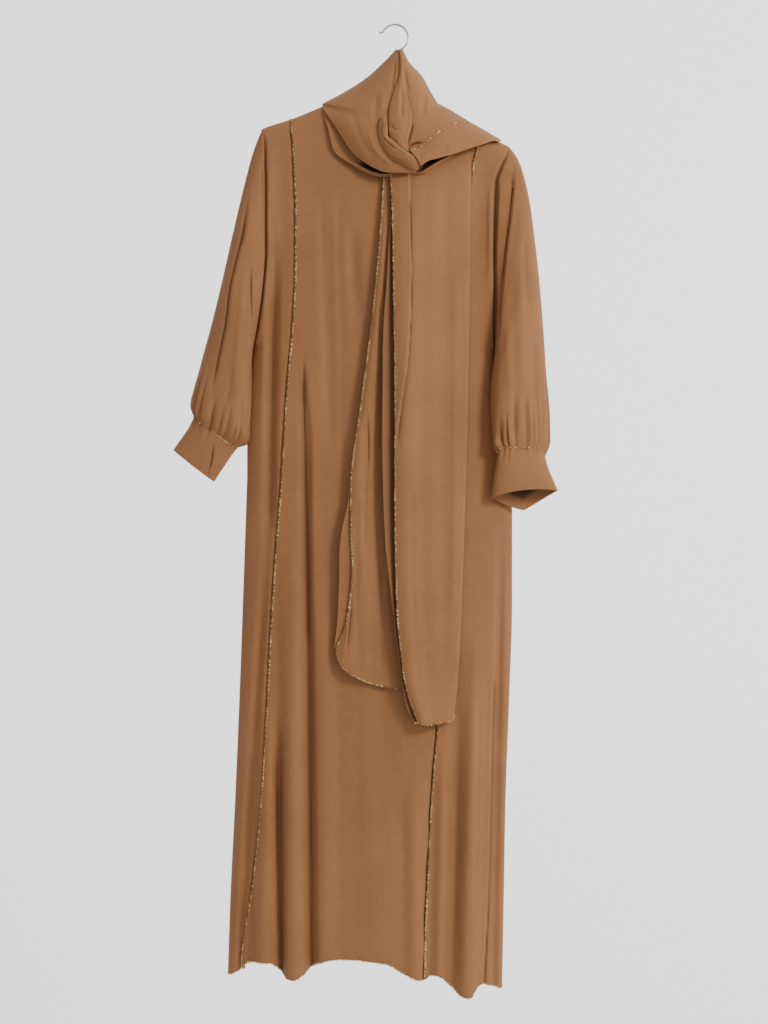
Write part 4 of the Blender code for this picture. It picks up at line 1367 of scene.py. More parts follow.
@dataclass
class Stitching:
    """Gold overlock thread laid along sewn edges, loop after loop."""

    name: str
    seed: int
    spacing: float = 1.9
    radius: float = 0.56
    width: float = 1.6
    height: float = 1.1
    arc: tuple[float, float] = (-38.0, 256.0)
    tilt: tuple[float, float, float] = (0.35, 0.35, 0.25)
    sizes: tuple[float, float] = (0.75, 1.2)

    def tree(self, thread: bpy.types.Material) -> bpy.types.NodeTree:
        """Geometry nodes that turn edge lines into thread loops.

        Args:
            thread: Material of the loops.

        Returns:
            The node tree.
        """
        tree = bpy.data.node_groups.new(self.name + "_stitcher", "GeometryNodeTree")
        sockets = dict.fromkeys(("Spacing", "Thread radius", "Loop width", "Loop height"), "Float")
        for label, kind in {"Geometry": "Geometry", **sockets, "Seed": "Int"}.items():
            tree.interface.new_socket(label, in_out="INPUT", socket_type="NodeSocket" + kind)
        tree.interface.new_socket("Geometry", in_out="OUTPUT", socket_type="NodeSocketGeometry")

        def add(kind: str, inputs: dict | None = None, **settings: object) -> bpy.types.NodeOutputs:
            """Add a node, and give its output sockets."""
            return NodeBook(tree).add(kind, settings, inputs).outputs

        given = add("NodeGroupInput")
        line = add("GeometryNodeMeshToCurve", {0: given["Geometry"]})
        along_line = {"Curve": line[0], "Length": given["Spacing"]}
        points = add("GeometryNodeCurveToPoints", along_line, mode="LENGTH")
        facing = add("GeometryNodeInputNamedAttribute", {"Name": "facing"}, data_type="FLOAT_VECTOR")
        along = add("FunctionNodeAlignRotationToVector", {"Vector": points["Tangent"]}, axis="Z")
        faced = {"Rotation": along[0], "Vector": facing[0]}
        out = add("FunctionNodeAlignRotationToVector", faced, axis="X", pivot_axis="Z")
        least, most = tuple(-angle for angle in self.tilt), self.tilt
        uneven = {0: least, 1: most, "Seed": given["Seed"]}
        tilt = add("FunctionNodeRandomValue", uneven, data_type="FLOAT_VECTOR")
        euler = add("FunctionNodeEulerToRotation", {0: tilt[0]})
        turned = add("FunctionNodeRotateRotation", {0: out[0], 1: euler[0]}, rotation_space="LOCAL")
        uneven = {2: self.sizes[0], 3: self.sizes[1], "Seed": given["Seed"]}
        size = add("FunctionNodeRandomValue", uneven, data_type="FLOAT")
        bow = {"Start Angle": math.radians(self.arc[0]), "Sweep Angle": math.radians(self.arc[1])}
        arc = add("GeometryNodeCurveArc", {"Resolution": 6, "Radius": 1.0, **bow})
        shape = add("ShaderNodeCombineXYZ", {0: given["Loop height"], 1: given["Loop width"], 2: 1.0})
        squash = add("GeometryNodeTransform", {"Geometry": arc[0], "Scale": shape[0]})
        ring = add("GeometryNodeCurvePrimitiveCircle", {"Resolution": 4, "Radius": given["Thread radius"]})
        tubed = {"Curve": squash[0], "Profile Curve": ring[0], "Fill Caps": True}
        tube = add("GeometryNodeCurveToMesh", tubed)
        laid = {"Points": points["Points"], "Instance": tube[0], "Rotation": turned[0], "Scale": size[1]}
        real = add("GeometryNodeRealizeInstances", {0: add("GeometryNodeInstanceOnPoints", laid)[0]})
        smooth = add("GeometryNodeSetShadeSmooth", {0: real[0]})
        painted = add("GeometryNodeSetMaterial", {"Geometry": smooth[0], "Material": thread})
        add("NodeGroupOutput", {0: painted[0]})
        return tree

    def build(self, edges: Sequence[Edge], thread: bpy.types.Material) -> bpy.types.Object:
        """Stitch every edge.

        Args:
            edges: The sewn edges.
            thread: Material of the thread.

        Returns:
            One mesh with all the loops.
        """
        points, facing, lines = [], [], []
        for edge in edges:
            start = len(points)
            points += (edge.points / 1000.0).tolist()
            facing += edge.facing.tolist()
            lines += [(start + index, start + index + 1) for index in range(len(edge.points) - 1)]
        guide = bpy.data.meshes.new(self.name + "_guide")
        guide.from_pydata(points, lines, [])
        lay = guide.attributes.new("facing", "FLOAT_VECTOR", "POINT")
        lay.data.foreach_set("vector", np.array(facing, np.float32).ravel())
        carrier = in_scene(self.name + "_guide", guide)
        modifier = carrier.modifiers.new("stitching", "NODES")
        modifier.node_group = self.tree(thread)
        sizes = {
            "Spacing": self.spacing / 1000.0,
            "Thread radius": self.radius / 1000.0,
            "Loop width": self.width / 1000.0,
            "Loop height": self.height / 1000.0,
            "Seed": self.seed,
        }
        for item in modifier.node_group.interface.items_tree:
            if item.name in sizes:
                modifier[item.identifier] = sizes[item.name]
        mesh = plain_mesh(carrier, self.name)
        thing = in_scene(self.name, mesh)
        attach(thing, "root")
        LOG.info("%s: %d faces", thing.name, len(mesh.polygons))
        return thing


@dataclass
class BodyForm:
    """Outline, depth and folds of the garment's body, from its tables."""

    shoulder_round: float = 45.0
    side_power: float = 0.8
    armhole_reach: float = 0.07
    ripple_height: float = 0.55
    left_underarm: float = 540.0
    right_underarm: float = 544.0

    def __post_init__(self) -> None:
        """Read the tables."""
        self.left_edge, self.right_edge, self.front_depth, self.back_depth = (
            Track(BODY, column) for column in range(1, 5)
        )
        self.left_armhole = Track(ARMHOLE, 1)
        self.right_armhole = Track(ARMHOLE, 2)
        self.shoulder = Track(SHOULDER, 1)
        self.neck = {Face.FRONT: Track(NECKLINE, 1), Face.BACK: Track(NECKLINE, 2)}
        self.hem = {Face.FRONT: Track(HEM, 1), Face.BACK: Track(HEM, 2)}
        self.creases = {Face.FRONT: creases(FRONT_CREASES), Face.BACK: creases(BACK_CREASES)}

    def folds(self, across: np.ndarray, drop: np.ndarray, face: Face) -> np.ndarray:
        """Height of the large folds.

        Args:
            across: Places across.
            drop: Drops of the same places.
            face: Front or back.

        Returns:
            Heights outwards.
        """
        total = np.zeros(np.broadcast(across, drop).shape)
        table = FRONT_FOLDS if face is Face.FRONT else BACK_FOLDS
        for top, foot, start, end, half, height in table:
            share = np.clip((drop - start) / (end - start), 0, 1)
            reach = np.clip(np.abs(across - (top + (foot - top) * share)) / half, 0, 1)
            swell = eased(start, start + 0.3 * (end - start), drop) * (1 - eased(end - 60, end, drop))
            total = total + height * swell * 0.5 * (1 + np.cos(math.pi * reach))
        return total

    def depth(self, across: np.ndarray, drop: np.ndarray, face: Face, fine: bool = True) -> np.ndarray:
        """Depth of the body wall.

        Args:
            across: Places across.
            drop: Drops of the same places.
            face: Front or back.
            fine: Whether the creases and ripples are added to the large folds.

        Returns:
            Y of the wall.
        """
        left, right = self.left_edge(drop), self.right_edge(drop)
        share = np.clip((across - left) / (right - left), 0, 1)
        swell = (1 - np.abs(2 * share - 1) ** (2 / self.side_power)) ** (self.side_power / 2)
        edge = np.where(share < 0.5, self.left_armhole(drop), self.right_armhole(drop))
        edge = edge * np.exp(-(np.minimum(share, 1 - share) / self.armhole_reach) ** 2)
        full = self.front_depth(drop) if face is Face.FRONT else self.back_depth(drop)
        depth = np.sqrt(edge ** 2 + (full ** 2 - edge ** 2) * swell ** 2)
        below = drop - self.shoulder(across)
        fall = np.clip(below / self.shoulder_round, 0, 1)
        depth = depth * np.sqrt(np.clip(1 - (1 - fall) ** 2, 0, 1))
        seam = np.exp(-(np.minimum(across - left, right - across) / GROOVE_HALF) ** 2)
        depth = depth - GROOVE * seam * eased(6.0, 40.0, below) * (1 - eased(500.0, 540.0, drop))
        side = np.clip(1.6 * swell, 0, 1)
        depth = depth + self.folds(across, drop, face) * side
        if fine:
            hung = eased(20.0, 160.0, below) * side
            seed = 1.3 if face is Face.FRONT else 4.1
            depth = depth + crease_lift(self.creases[face], across, drop) * side
            depth = depth + ripple(across, drop, seed, self.ripple_height) * hung
        return face.value * depth

    def armhole_shade(self, across: np.ndarray, drop: np.ndarray) -> np.ndarray:
        """Painted shade in the groove of the armhole seams: how dark the cloth is painted there."""
        left = groove_shade(across - self.left_edge(drop), drop) * (drop < self.left_underarm)
        right = groove_shade(across - self.right_edge(drop), drop) * (drop < self.right_underarm)
        return left + right

    def turn(self, across: np.ndarray, drop: np.ndarray) -> np.ndarray:
        """Angle round the body of a place, from 0 at the left edge to pi."""
        share = (across - self.left_edge(drop)) / (self.right_edge(drop) - self.left_edge(drop))
        lean = np.clip(1 - 2 * share, -1, 1)
        return np.arccos(np.sign(lean) * np.abs(lean) ** (1 / self.side_power))

    def place(self, turn: np.ndarray, drop: np.ndarray) -> np.ndarray:
        """Place across of an angle round the body."""
        lean = np.sign(np.cos(turn)) * np.abs(np.cos(turn)) ** self.side_power
        return self.left_edge(drop) + (self.right_edge(drop) - self.left_edge(drop)) * (1 - lean) / 2

    def underarm(self, across: np.ndarray) -> np.ndarray:
        """Drop of the underarm line."""
        first, last = SHOULDER[0][0], SHOULDER[-1][0]
        share = np.clip((across - first) / (last - first), 0, 1)
        return self.left_underarm + (self.right_underarm - self.left_underarm) * share

    def top(self, across: np.ndarray, face: Face) -> np.ndarray:
        """Drop of the shoulder line or the neckline."""
        neck = (across > NECKLINE[0][0]) & (across < NECKLINE[-1][0])
        return np.where(neck, self.neck[face](across), self.shoulder(across))


@dataclass
class BodyPanel:
    """Plan of one panel: lines its columns follow, columns between them, and how its sides are sewn."""

    name: str
    node: str
    face: Face
    lines: tuple[Line, ...]
    counts: tuple[int, ...]
    laps_over: bool = False
    tucks_under: bool = False


@dataclass
class Body:
    """Front centre, two front sides and the back of the abaya."""

    form: BodyForm
    edge_rows: int = 12
    arm_rows: int = 60
    skirt_rows: int = 140
    tucks: tuple[float, ...] = (1.7, 3.35, 5.0)
    recess: float = 4.6
    recess_half: float = 3.2
    # recess_dark is how dark the painted shade in the recess of a gaping seam is
    recess_dark: float = 0.5
    gape: float = 1.8
    raised: float = 1.2
    edge_depth: float = 45.0
    mean_hem: float = 1580.0
    settlings: int = 9

    def panels(self) -> tuple[BodyPanel, ...]:
        """Plans of the four panels."""
        front = Face.FRONT
        left = (Line.LEFT_EDGE, Line.LEFT_SIDE, Line.LEFT_SEAM)
        centre = (Line.LEFT_SEAM, Line.LEFT_OF_CENTRE, Line.CENTRE_FOLD, Line.RIGHT_SEAM)
        right = (Line.RIGHT_SEAM, Line.RIGHT_SIDE_FOLD, Line.RIGHT_EDGE_FOLD, Line.RIGHT_EDGE)
        edges = (Line.LEFT_EDGE, Line.RIGHT_EDGE)
        return (
            BodyPanel("left_side_panel", "front_side_left", front, left, (16, 14), tucks_under=True),
            BodyPanel("centre_panel", "front_centre", front, centre, (14, 16, 88), True, True),
            BodyPanel("right_side_panel", "front_side_right", front, right, (14, 28, 26), laps_over=True),
            BodyPanel("back_cloth", "back_panel", Face.BACK, edges, (92,)),
        )

    def angles(self, line: Line, drop: np.ndarray) -> np.ndarray:
        """Angles round the body of one of the lines that the columns follow.

        Args:
            line: The line.
            drop: Drops along it.

        Returns:
            The angles.
        """
        kind, column = line.value
        if kind == "edge":
            return np.full(drop.shape, column * math.pi)
        table = SEAMS if kind == "seam" else FOLD_LINES
        return self.form.turn(Track(table, column)(drop), drop)

    def rows(self, across: np.ndarray, count: int, face: Face) -> np.ndarray:
        """Drops of every row, from the shoulder or neckline to the hem.

        Args:
            across: Places across, row by row.
            count: Rows.
            face: Front or back.

        Returns:
            The drops.
        """
        top = self.form.top(across, face)
        foot = self.form.hem[face](across)
        arm = self.form.underarm(across)
        index = np.arange(count)[:, None]
        start = top + self.edge_depth * (np.clip(index / self.edge_rows, 0, 1)) ** 1.6
        part = np.clip((index - self.edge_rows) / self.arm_rows, 0, 1)
        part = 0.5 * part + 0.5 * np.sin(math.pi / 2 * part)
        chest = (top + self.edge_depth) * (1 - part) + arm * part
        chest_rows = self.edge_rows + self.arm_rows
        part = np.clip((index - chest_rows) / (count - 1 - chest_rows), 0, 1)
        skirt = arm * (1 - part) + foot * part
        drop = np.where(index <= self.edge_rows, start, chest)
        return np.where(index > chest_rows, skirt, drop)

    def surface(self, panel: BodyPanel) -> ClothPiece:
        """Outer face of one panel.

        Args:
            panel: Its plan.

        Returns:
            The piece of cloth.
        """
        count = 1 + self.edge_rows + self.arm_rows + self.skirt_rows
        columns = sum(panel.counts) + 1
        drop = np.linspace(BODY[0][0], self.mean_hem, count)[:, None] * np.ones((1, columns))
        for _ in range(self.settlings):
            turns = []
            column = 0
            for first, last, steps in zip(panel.lines[:-1], panel.lines[1:], panel.counts):
                part = slice(column, column + steps + (last == panel.lines[-1]))
                here = drop[:, part]
                share = np.linspace(0, 1, steps + 1)[None, :here.shape[1]]
                if last in (Line.LEFT_SEAM, Line.RIGHT_SEAM):
                    share = 1 - (1 - share) ** 1.5
                turns.append(self.angles(first, here) * (1 - share) + self.angles(last, here) * share)
                column += steps
            across = self.form.place(np.concatenate(turns, axis=1), drop)
            drop = self.rows(across, count, panel.face)
        if panel.tucks_under:
            across = np.concatenate([across, across[:, -1:] + np.array([self.tucks])], axis=1)
            drop = np.concatenate([drop, np.repeat(drop[:, -1:], len(self.tucks), axis=1)], axis=1)
        depth = self.form.depth(across, drop, panel.face)
        below = eased(4.0, 30.0, drop - self.form.shoulder(across))
        sewn = ["foot"]
        dark = 0.0
        if panel.tucks_under:
            aside = np.maximum(across[:, columns - 1:columns] - across, 0)
            sunk, dark = self.tucked(aside, drop, panel.laps_over)
            depth = depth + sunk * below
            depth = depth + puckers(aside, drop, 2.0 + len(panel.name), 0.8) * below
        if panel.laps_over:
            aside = across - across[:, :1]
            depth = depth - self.raised * np.exp(-aside / 5.0) * below
            depth = depth + puckers(aside, drop, 5.0 + len(panel.name), 0.7) * below
            sewn.append("left")
        grid = np.stack([across, depth, -drop], axis=2)
        # Painted shade in the crease valleys, the recess of a tucked seam and the armhole grooves
        shaded = crease_shade(crease_lift(self.form.creases[panel.face], across, drop))
        shaded = np.maximum(np.maximum(shaded, dark), self.form.armhole_shade(across, drop))
        return ClothPiece(panel.name, panel.node, grid, -panel.face.value, sewn=tuple(sewn), shaded=shaded)

    def tucked(
        self, aside: np.ndarray, drop: np.ndarray, gapes: bool
    ) -> tuple[np.ndarray, np.ndarray | float]:
        """How far an edge lies that is tucked under the next panel, and how dark its painted shade is.

        Args:
            aside: Distances from the seam.
            drop: Drops of the same places.
            gapes: Whether the seam gapes unevenly towards the hem.

        Returns:
            Depths to add, and the darkness of the painted shade.
        """
        if not gapes:
            return self.recess * np.exp(-(aside / self.recess_half) ** 1.5), 0.0
        gap = 0.35 + 0.65 * eased(400.0, 800.0, drop) + 0.45 * eased(1150.0, 1450.0, drop)
        sway = np.sin(drop / 19.0) * np.sin(drop / 47.0 + 1) * eased(1150.0, 1300.0, drop)
        half = self.recess_half + self.gape * sway
        # Painted shade along the gaping recess, in a width that sways down the seam
        dark = self.recess_dark * np.exp(-(aside / half) ** 2) * eased(1100.0, 1350.0, drop)
        return self.recess * gap * np.exp(-(aside / half) ** 1.5), dark

    def armhole(self, side: Side, count: int) -> np.ndarray:
        """Closed loop of one armhole, from the shoulder down the front and up the back.

        Args:
            side: Left or right.
            count: Points on the front, and as many on the back.

        Returns:
            The points.
        """
        form = self.form
        end, foot = (0, form.left_underarm) if side is Side.LEFT else (-1, form.right_underarm)
        top = SHOULDER[end][1]
        part = np.linspace(0, 1, count + 1)
        drop = top + (foot - top) * (0.5 - 0.5 * np.cos(math.pi * part)) ** 0.9
        edge = form.left_edge if side is Side.LEFT else form.right_edge
        across = edge(drop)
        front = np.stack([across, form.depth(across, drop, Face.FRONT, False), -drop], axis=1)
        back = np.stack([across, form.depth(across, drop, Face.BACK, False), -drop], axis=1)
        return np.vstack([front, back[-2:0:-1]])

    def build(self) -> dict[str, ClothPiece]:
        """Outer faces of the four panels, by node."""
        return {panel.node: self.surface(panel) for panel in self.panels()}


@dataclass
class Sleeve:
    """One full sleeve, gathered at the wrist, and the cuff that flares from it."""

    side: Side
    sleeve: Table
    cuff: Table
    folds: tuple[Crease, ...]
    rows: int = 104
    cuff_rows: int = 23
    power: float = 0.8
    armhole_steps: int = 108
    top_rows: int = 12
    top_share: float = 0.06
    settled: float = 0.4
    gathers: int = 22
    gather_depth: float = 3.3
    # How dark the inner face of the cuff is painted, as painted shade inside it
    cuff_dark: float = 0.85
    front_slope: float = 1.8

    def front(self, turns: np.ndarray) -> np.ndarray:
        """How far points at these angles belong to the front, from 0 to 1."""
        return np.clip(np.sin(turns) * self.front_slope, 0, 1)

    def ring(self, section: np.ndarray, turns: np.ndarray, taper: float) -> np.ndarray:
        """Points of one ring.

        Args:
            section: Its sizes from the table.
            turns: Angles of its points, from 0 at the outer edge.
            taper: How far its back flattens towards the inner edge.

        Returns:
            The points.
        """
        outer, inner = np.array(section[0:3]), np.array(section[3:6])
        front, back, front_sag, back_sag = section[6:10]
        crease = section[10] if len(section) > 10 else 0.0
        lean = np.cos(turns)
        reach = (1 + np.sign(lean) * np.abs(lean) ** self.power) / 2
        before = np.sin(turns) > 0
        swell = np.abs(np.sin(turns)) ** self.power
        pointed = 1 - np.abs(2 * reach - 1) ** np.where(before, 2.0, 1.15)
        dip = swell * (1 - crease) + pointed * crease
        swell = swell * (1 - crease) + np.sqrt(np.clip(1 - (2 * reach - 1) ** 2, 0, 1)) * crease
        base = inner + (outer - inner) * reach[:, None]
        depth = np.where(before, -front * swell, back * swell * (1 - 0.65 * taper * (1 - reach)))
        sag = np.where(before, front_sag, back_sag) * dip
        return np.stack([base[:, 0], base[:, 2] + depth, -(base[:, 1] + sag)], axis=1)

    def gathered(self, at: float, even: np.ndarray) -> np.ndarray:
        """Uneven gathers above the wrist seam.

        Args:
            at: Share of the way down the sleeve.
            even: Angles of the ring's points.

        Returns:
            Heights off the ring.
        """
        seed = 0.6 if self.side is Side.LEFT else 2.2
        spread_out = even + 0.09 * np.sin(3 * even + seed) + 0.05 * np.sin(7 * even + 2 * seed)
        wave = 2 * np.abs(np.cos(0.5 * self.gathers * spread_out)) ** 0.7 - 1
        beside = np.cos(0.5 * (self.gathers + 1) * spread_out + seed)
        wave = wave * (1 + 0.5 * np.sin(2 * even + seed)) + 0.4 * beside
        reach = 0.05 * np.sin(5 * even + seed)
        strength = eased(0.78 + reach, 0.95, at) * (1 - 0.45 * eased(0.975, 1.0, at))
        return self.gather_depth * strength * wave * np.abs(np.sin(even)) ** 0.3

    def build(self, loop: np.ndarray) -> dict[str, ClothPiece]:
        """Outer faces of the sleeve and its cuff.

        Args:
            loop: Points of the armhole.

        Returns:
            The two pieces, by node.
        """
        points = len(loop)
        facing = 1 if self.side is Side.LEFT else -1
        even = 2 * math.pi * np.arange(points) / points
        ahead = np.abs(loop[:, 2] - loop[0, 2]) / np.abs(loop[points // 2, 2] - loop[0, 2])
        armed = np.where(np.arange(points) <= points // 2, ahead, 2 - ahead) * math.pi
        columns = [Track(self.sleeve, column) for column in range(1, len(self.sleeve[0]))]
        rings = []
        upper = np.linspace(0, self.top_share, self.top_rows + 1)[:-1]
        places = np.concatenate([upper, np.linspace(self.top_share, 1, self.rows - self.top_rows)])
        for at in places:
            blend = eased(0.0, self.settled, at)
            turns = armed * (1 - blend) + even * blend
            ring = self.ring([column(at) for column in columns], turns, float(eased(0.3, 0.9, at)))
            if at == 0:
                first_error = loop - ring
            near = np.clip(1 - at / self.settled, 0, 1) ** 2
            ring = ring + first_error * near
            ring[:, 1] += self.swelling(ring, loop, turns) * near
            rings.append(self.folded(ring, turns, at))
        cuff_columns = [Track(self.cuff, column) for column in range(1, len(self.cuff[0]))]
        for at in np.linspace(0, 1, self.cuff_rows)[1:]:
            ring = self.ring([column(at) for column in cuff_columns], even, 1.0)
            rings.append(self.pleated(ring, even, at))
        grid = np.array(rings)
        # Painted shade in the crease valleys on the front and in the armhole groove
        shaded = crease_shade(crease_lift(self.folds, grid[:, :, 0], -grid[:, :, 2]))
        shaded = shaded * self.front(even)[None, :]
        away = np.linalg.norm((grid - loop[None])[:, :, ::2], axis=2)
        shaded[:self.rows] = np.maximum(shaded, groove_shade(away, -loop[None, :, 2]))[:self.rows]
        name = self.side.value
        node, cuff_node = "sleeve_" + name, "cuff_" + name
        part, rest = slice(0, self.rows), slice(self.rows - 1, None)
        upper = ClothPiece(name + "_sleeve", node, grid[part], facing, closed=True, sewn=("foot",))
        upper.shaded = shaded[part]
        lower = ClothPiece(name + "_cuff", cuff_node, grid[rest], facing, closed=True, sewn=("top", "foot"))
        lower.shaded = shaded[rest]
        # Painted shade on the inner face of the cuff, except near its mouth
        lower.inside = self.cuff_dark
        return {node: upper, cuff_node: lower}

    def swelling(self, ring: np.ndarray, loop: np.ndarray, turns: np.ndarray) -> np.ndarray:
        """Depth by which the sleeve rises out of the groove of the armhole seam.

        Args:
            ring: Points of the ring.
            loop: Points of the armhole.
            turns: Angles of the points.

        Returns:
            Depths to add.
        """
        away = np.linalg.norm((ring - loop)[:, ::2], axis=1)
        side = np.sign(np.sin(turns)) * np.clip(np.abs(np.sin(turns)) * 3, 0, 1)
        return -GROOVE * side * (1 - np.exp(-(away / GROOVE_HALF) ** 2))

    def outwards(self, ring: np.ndarray) -> np.ndarray:
        """Unit directions from the middle of a ring to its points."""
        way = ring - ring.mean(axis=0)
        return way / np.maximum(np.linalg.norm(way, axis=1, keepdims=True), 1e-9)

    def folded(self, ring: np.ndarray, turns: np.ndarray, at: float) -> np.ndarray:
        """One ring of the sleeve with its creases and gathers.

        Args:
            ring: Points of the plain ring.
            turns: Angles of its points.
            at: Share of the way down the sleeve.

        Returns:
            The points.
        """
        way = self.outwards(ring)
        front, behind = self.front(turns), self.front(-turns)
        seed = 2.7 if self.side is Side.LEFT else 5.2
        start = eased(0.0, 0.12, at)
        shift = crease_lift(self.folds, ring[:, 0], -ring[:, 2]) * eased(0.0, 0.03, at)
        mirrored = crease_lift(self.folds, ring[:, 0] + 6, -ring[:, 2] - 14)
        shallow = ripple(ring[:, 0] * 1.1, -ring[:, 2], seed, 0.8) * start
        ring = ring.copy()
        ring[:, 1] += -(shift + shallow) * front + (0.7 * mirrored * start - shallow) * behind
        return ring + way * self.gathered(at, 2 * math.pi * np.arange(len(ring)) / len(ring))[:, None]

    def pleated(self, ring: np.ndarray, even: np.ndarray, at: float) -> np.ndarray:
        """One ring of the cuff, with the gathers dying out below the seam.

        Args:
            ring: Points of the plain ring.
            even: Angles of its points.
            at: Share of the way down the cuff.

        Returns:
            The points.
        """
        way = self.outwards(ring)
        front = self.front(even) * eased(0.0, 0.12, at)
        ring = ring.copy()
        ring[:, 1] -= crease_lift(self.folds, ring[:, 0], -ring[:, 2]) * front
        height = self.gathered(1.0, even) * (1 - eased(0.0, 0.45, at)) * 0.7
        height = height + 1.1 * np.sin(3 * even + 1.0) * eased(0.2, 0.9, at) * np.abs(np.sin(even))
        return ring + way * height[:, None]


@dataclass
class TailPlan:
    """Tables of one tail, how far its turned strip lies below it and its right edge rolls, and a seed."""

    sections: Table
    foot: Table
    folds: tuple[Crease, ...]
    turned: Table
    turned_drop: float
    roll: float
    seed: float


@dataclass
class Shawl:
    """Stretches of the shawl over the hook, round the neck and on the chest, and its two tails."""

    form: BodyForm
    columns: int = 64
    under_columns: int = 40
    back_columns: int = 72
    back_clear: float = 3.0
    steps: int = 13
    tail_steps: int = 16
    crease_reach: float = 4.0
    crease_fade: float = 9.0
    lip_place: float = 0.16
    lip_half: float = 0.13
    # slot and slot_dark: where across the lower layer the painted shade of the slot under the drape lies,
    # and how dark
    slot: tuple[float, float] = (0.19, 0.31)
    slot_dark: float = 0.95
    foot_from: float = 0.55
    lift_places: tuple[float, ...] = (0.0, 0.12, 0.5, 1.0)
    turn_shares: tuple[float, ...] = (-1.0, -0.66, -0.33)
    turn_depths: tuple[float, ...] = (0.6, 0.8, 1.3, 1.5)
    turn_lap: float = 1.5
    roll_half: float = 2.2
    roll_lift: float = 0.3
    least_lift: float = 1.8

    def strip(self, table: Table, corners: tuple[int, ...], folds: Table) -> np.ndarray:
        """Surface of a stretch from its table of sections.

        Args:
            table: The sections.
            corners: Sections where its edge turns a corner.
            folds: Its creases.

        Returns:
            The points.
        """
        section = spread(table, self.steps, corners)
        share = np.linspace(0, 1, self.columns)[None, :]
        outer, inner = section[:, None, 0:3], section[:, None, 3:6]
        bulge, rounding = section[:, None, 6], section[:, None, 7]
        reach = share * (1 - rounding) + (1 - np.cos(math.pi * share / 2)) * rounding
        dip = share * (1 - rounding) + np.sin(math.pi * share / 2) * rounding
        flat = outer + (inner - outer) * reach[:, :, None]
        depth = outer[:, :, 2] + (inner[:, :, 2] - outer[:, :, 2]) * dip - bulge * np.sin(math.pi * share)
        across, drop = flat[:, :, 0], flat[:, :, 1]
        depth = depth - crease_lift(creases(folds, self.crease_reach, self.crease_fade), across, drop)
        return seen(across, depth, drop)

    def under(self) -> np.ndarray:
        """Surface of the lower layer, made from the points of the body front and moved out."""
        section = spread(SHAWL_UNDER, self.steps)
        share = np.linspace(0, 1, self.under_columns)[None, :, None]
        flat = section[:, None, 0:3] * (1 - share) + section[:, None, 3:6] * share
        lip = section[:, None, 6] * np.exp(-((share[:, :, 0] - self.lip_place) / self.lip_half) ** 2)
        depth = self.form.depth(flat[:, :, 0], flat[:, :, 1], Face.FRONT, False) - flat[:, :, 2] - lip
        return seen(flat[:, :, 0], depth, flat[:, :, 1])

    def back(self) -> np.ndarray:
        """Surface behind the hook and neck."""
        section = spread(SHAWL_BACK, self.steps, (4, 7))
        turn = np.linspace(0, math.pi, self.back_columns)[None, :]
        reach = ((1 - np.cos(turn)) / 2)[:, :, None]
        left, right = section[:, None, 0:3], section[:, None, 3:6]
        flat = left + (right - left) * reach
        depth = flat[:, :, 2] + section[:, 6, None] * np.sin(turn) ** 0.8
        below = flat[:, :, 1] - self.form.shoulder(flat[:, :, 0])
        clear = self.form.depth(flat[:, :, 0], flat[:, :, 1], Face.BACK, False)
        clear = clear + self.back_clear * eased(0.0, 8.0, below)
        depth = np.where(below > 0, np.maximum(depth, clear), depth)
        return seen(flat[:, :, 0], depth, flat[:, :, 1])

    def tail(self, plan: TailPlan) -> np.ndarray:
        """Surface of a hanging tail, lifted off the body front, with a strip turned under at its left.

        Args:
            plan: Its tables.

        Returns:
            The points.
        """
        section = spread(plan.sections, self.tail_steps)
        share = np.linspace(0, 1, self.columns)[None, :]
        low_part = eased(self.foot_from, 1.0, np.linspace(0, 1, len(section)))[:, None]
        rise = Track(plan.foot, 1)(share) * low_part
        drop = section[:, None, 0] - rise
        left, right = Track(plan.sections, 1)(drop), Track(plan.sections, 2)(drop)
        across = left + (right - left) * share
        profiles = [Track(list(zip(self.lift_places, row[3:7])), 1) for row in section]
        lift = np.array([profile(share[0]) for profile in profiles])
        hung = eased(0.0, 80.0, drop - drop[0])
        lift = lift + (crease_lift(plan.folds, across, drop) + ripple(across, drop, plan.seed, 0.4)) * hung
        rolled = 1 - np.exp(-(across[:, -1:] - across) / self.roll_half)
        lift = lift + plan.roll * hung * rolled - self.roll_lift * plan.roll * hung
        width = np.maximum(Track(plan.turned, 1)(drop[:, :1]), 1.0)
        turned = width * np.array([self.turn_shares])
        turned = np.concatenate([turned, np.full_like(width, self.turn_lap)], axis=1)
        low = lift[:, :1] - plan.turned_drop * np.array([self.turn_depths]) * hung[:, :1]
        across = np.concatenate([across[:, :1] + turned, across], axis=1)
        lift = np.concatenate([np.maximum(low, self.least_lift), lift], axis=1)
        drop = np.concatenate([np.repeat(drop[:, :1], len(self.turn_depths), axis=1), drop], axis=1)
        depth = self.form.depth(across, drop, Face.FRONT, False) - lift
        return np.stack([across, depth, -drop], axis=2)

    def build(self) -> dict[str, ClothPiece]:
        """Outer faces of every stretch, by node."""
        lower = self.under()
        left = laid_on(self.strip(SHAWL_LEFT, (4,), LEFT_DRAPE_CREASES), [lower])
        right = laid_on(self.strip(SHAWL_RIGHT, (4,), RIGHT_DRAPE_CREASES), [lower])
        pleat = laid_on(self.strip(SHAWL_PLEAT, (), PLEAT_CREASES), [left, right])
        twist = laid_on(self.strip(SHAWL_KNOT, (), TWIST_CREASES), [left, pleat, lower])
        band = laid_on(self.strip(SHAWL_BAND, (), BAND_CREASES), [right, pleat, twist, lower])
        folds = creases(LEFT_TAIL_CREASES, 7.0)
        left_tail = self.tail(TailPlan(LEFT_TAIL, LEFT_TAIL_FOOT, folds, LEFT_TAIL_TURN, 2.4, 0.0, 3.3))
        folds = creases(RIGHT_TAIL_CREASES, 7.0, 36.0)
        right_tail = self.tail(TailPlan(RIGHT_TAIL, RIGHT_TAIL_FOOT, folds, RIGHT_TAIL_TURN, 7.0, 5.0, 6.1))
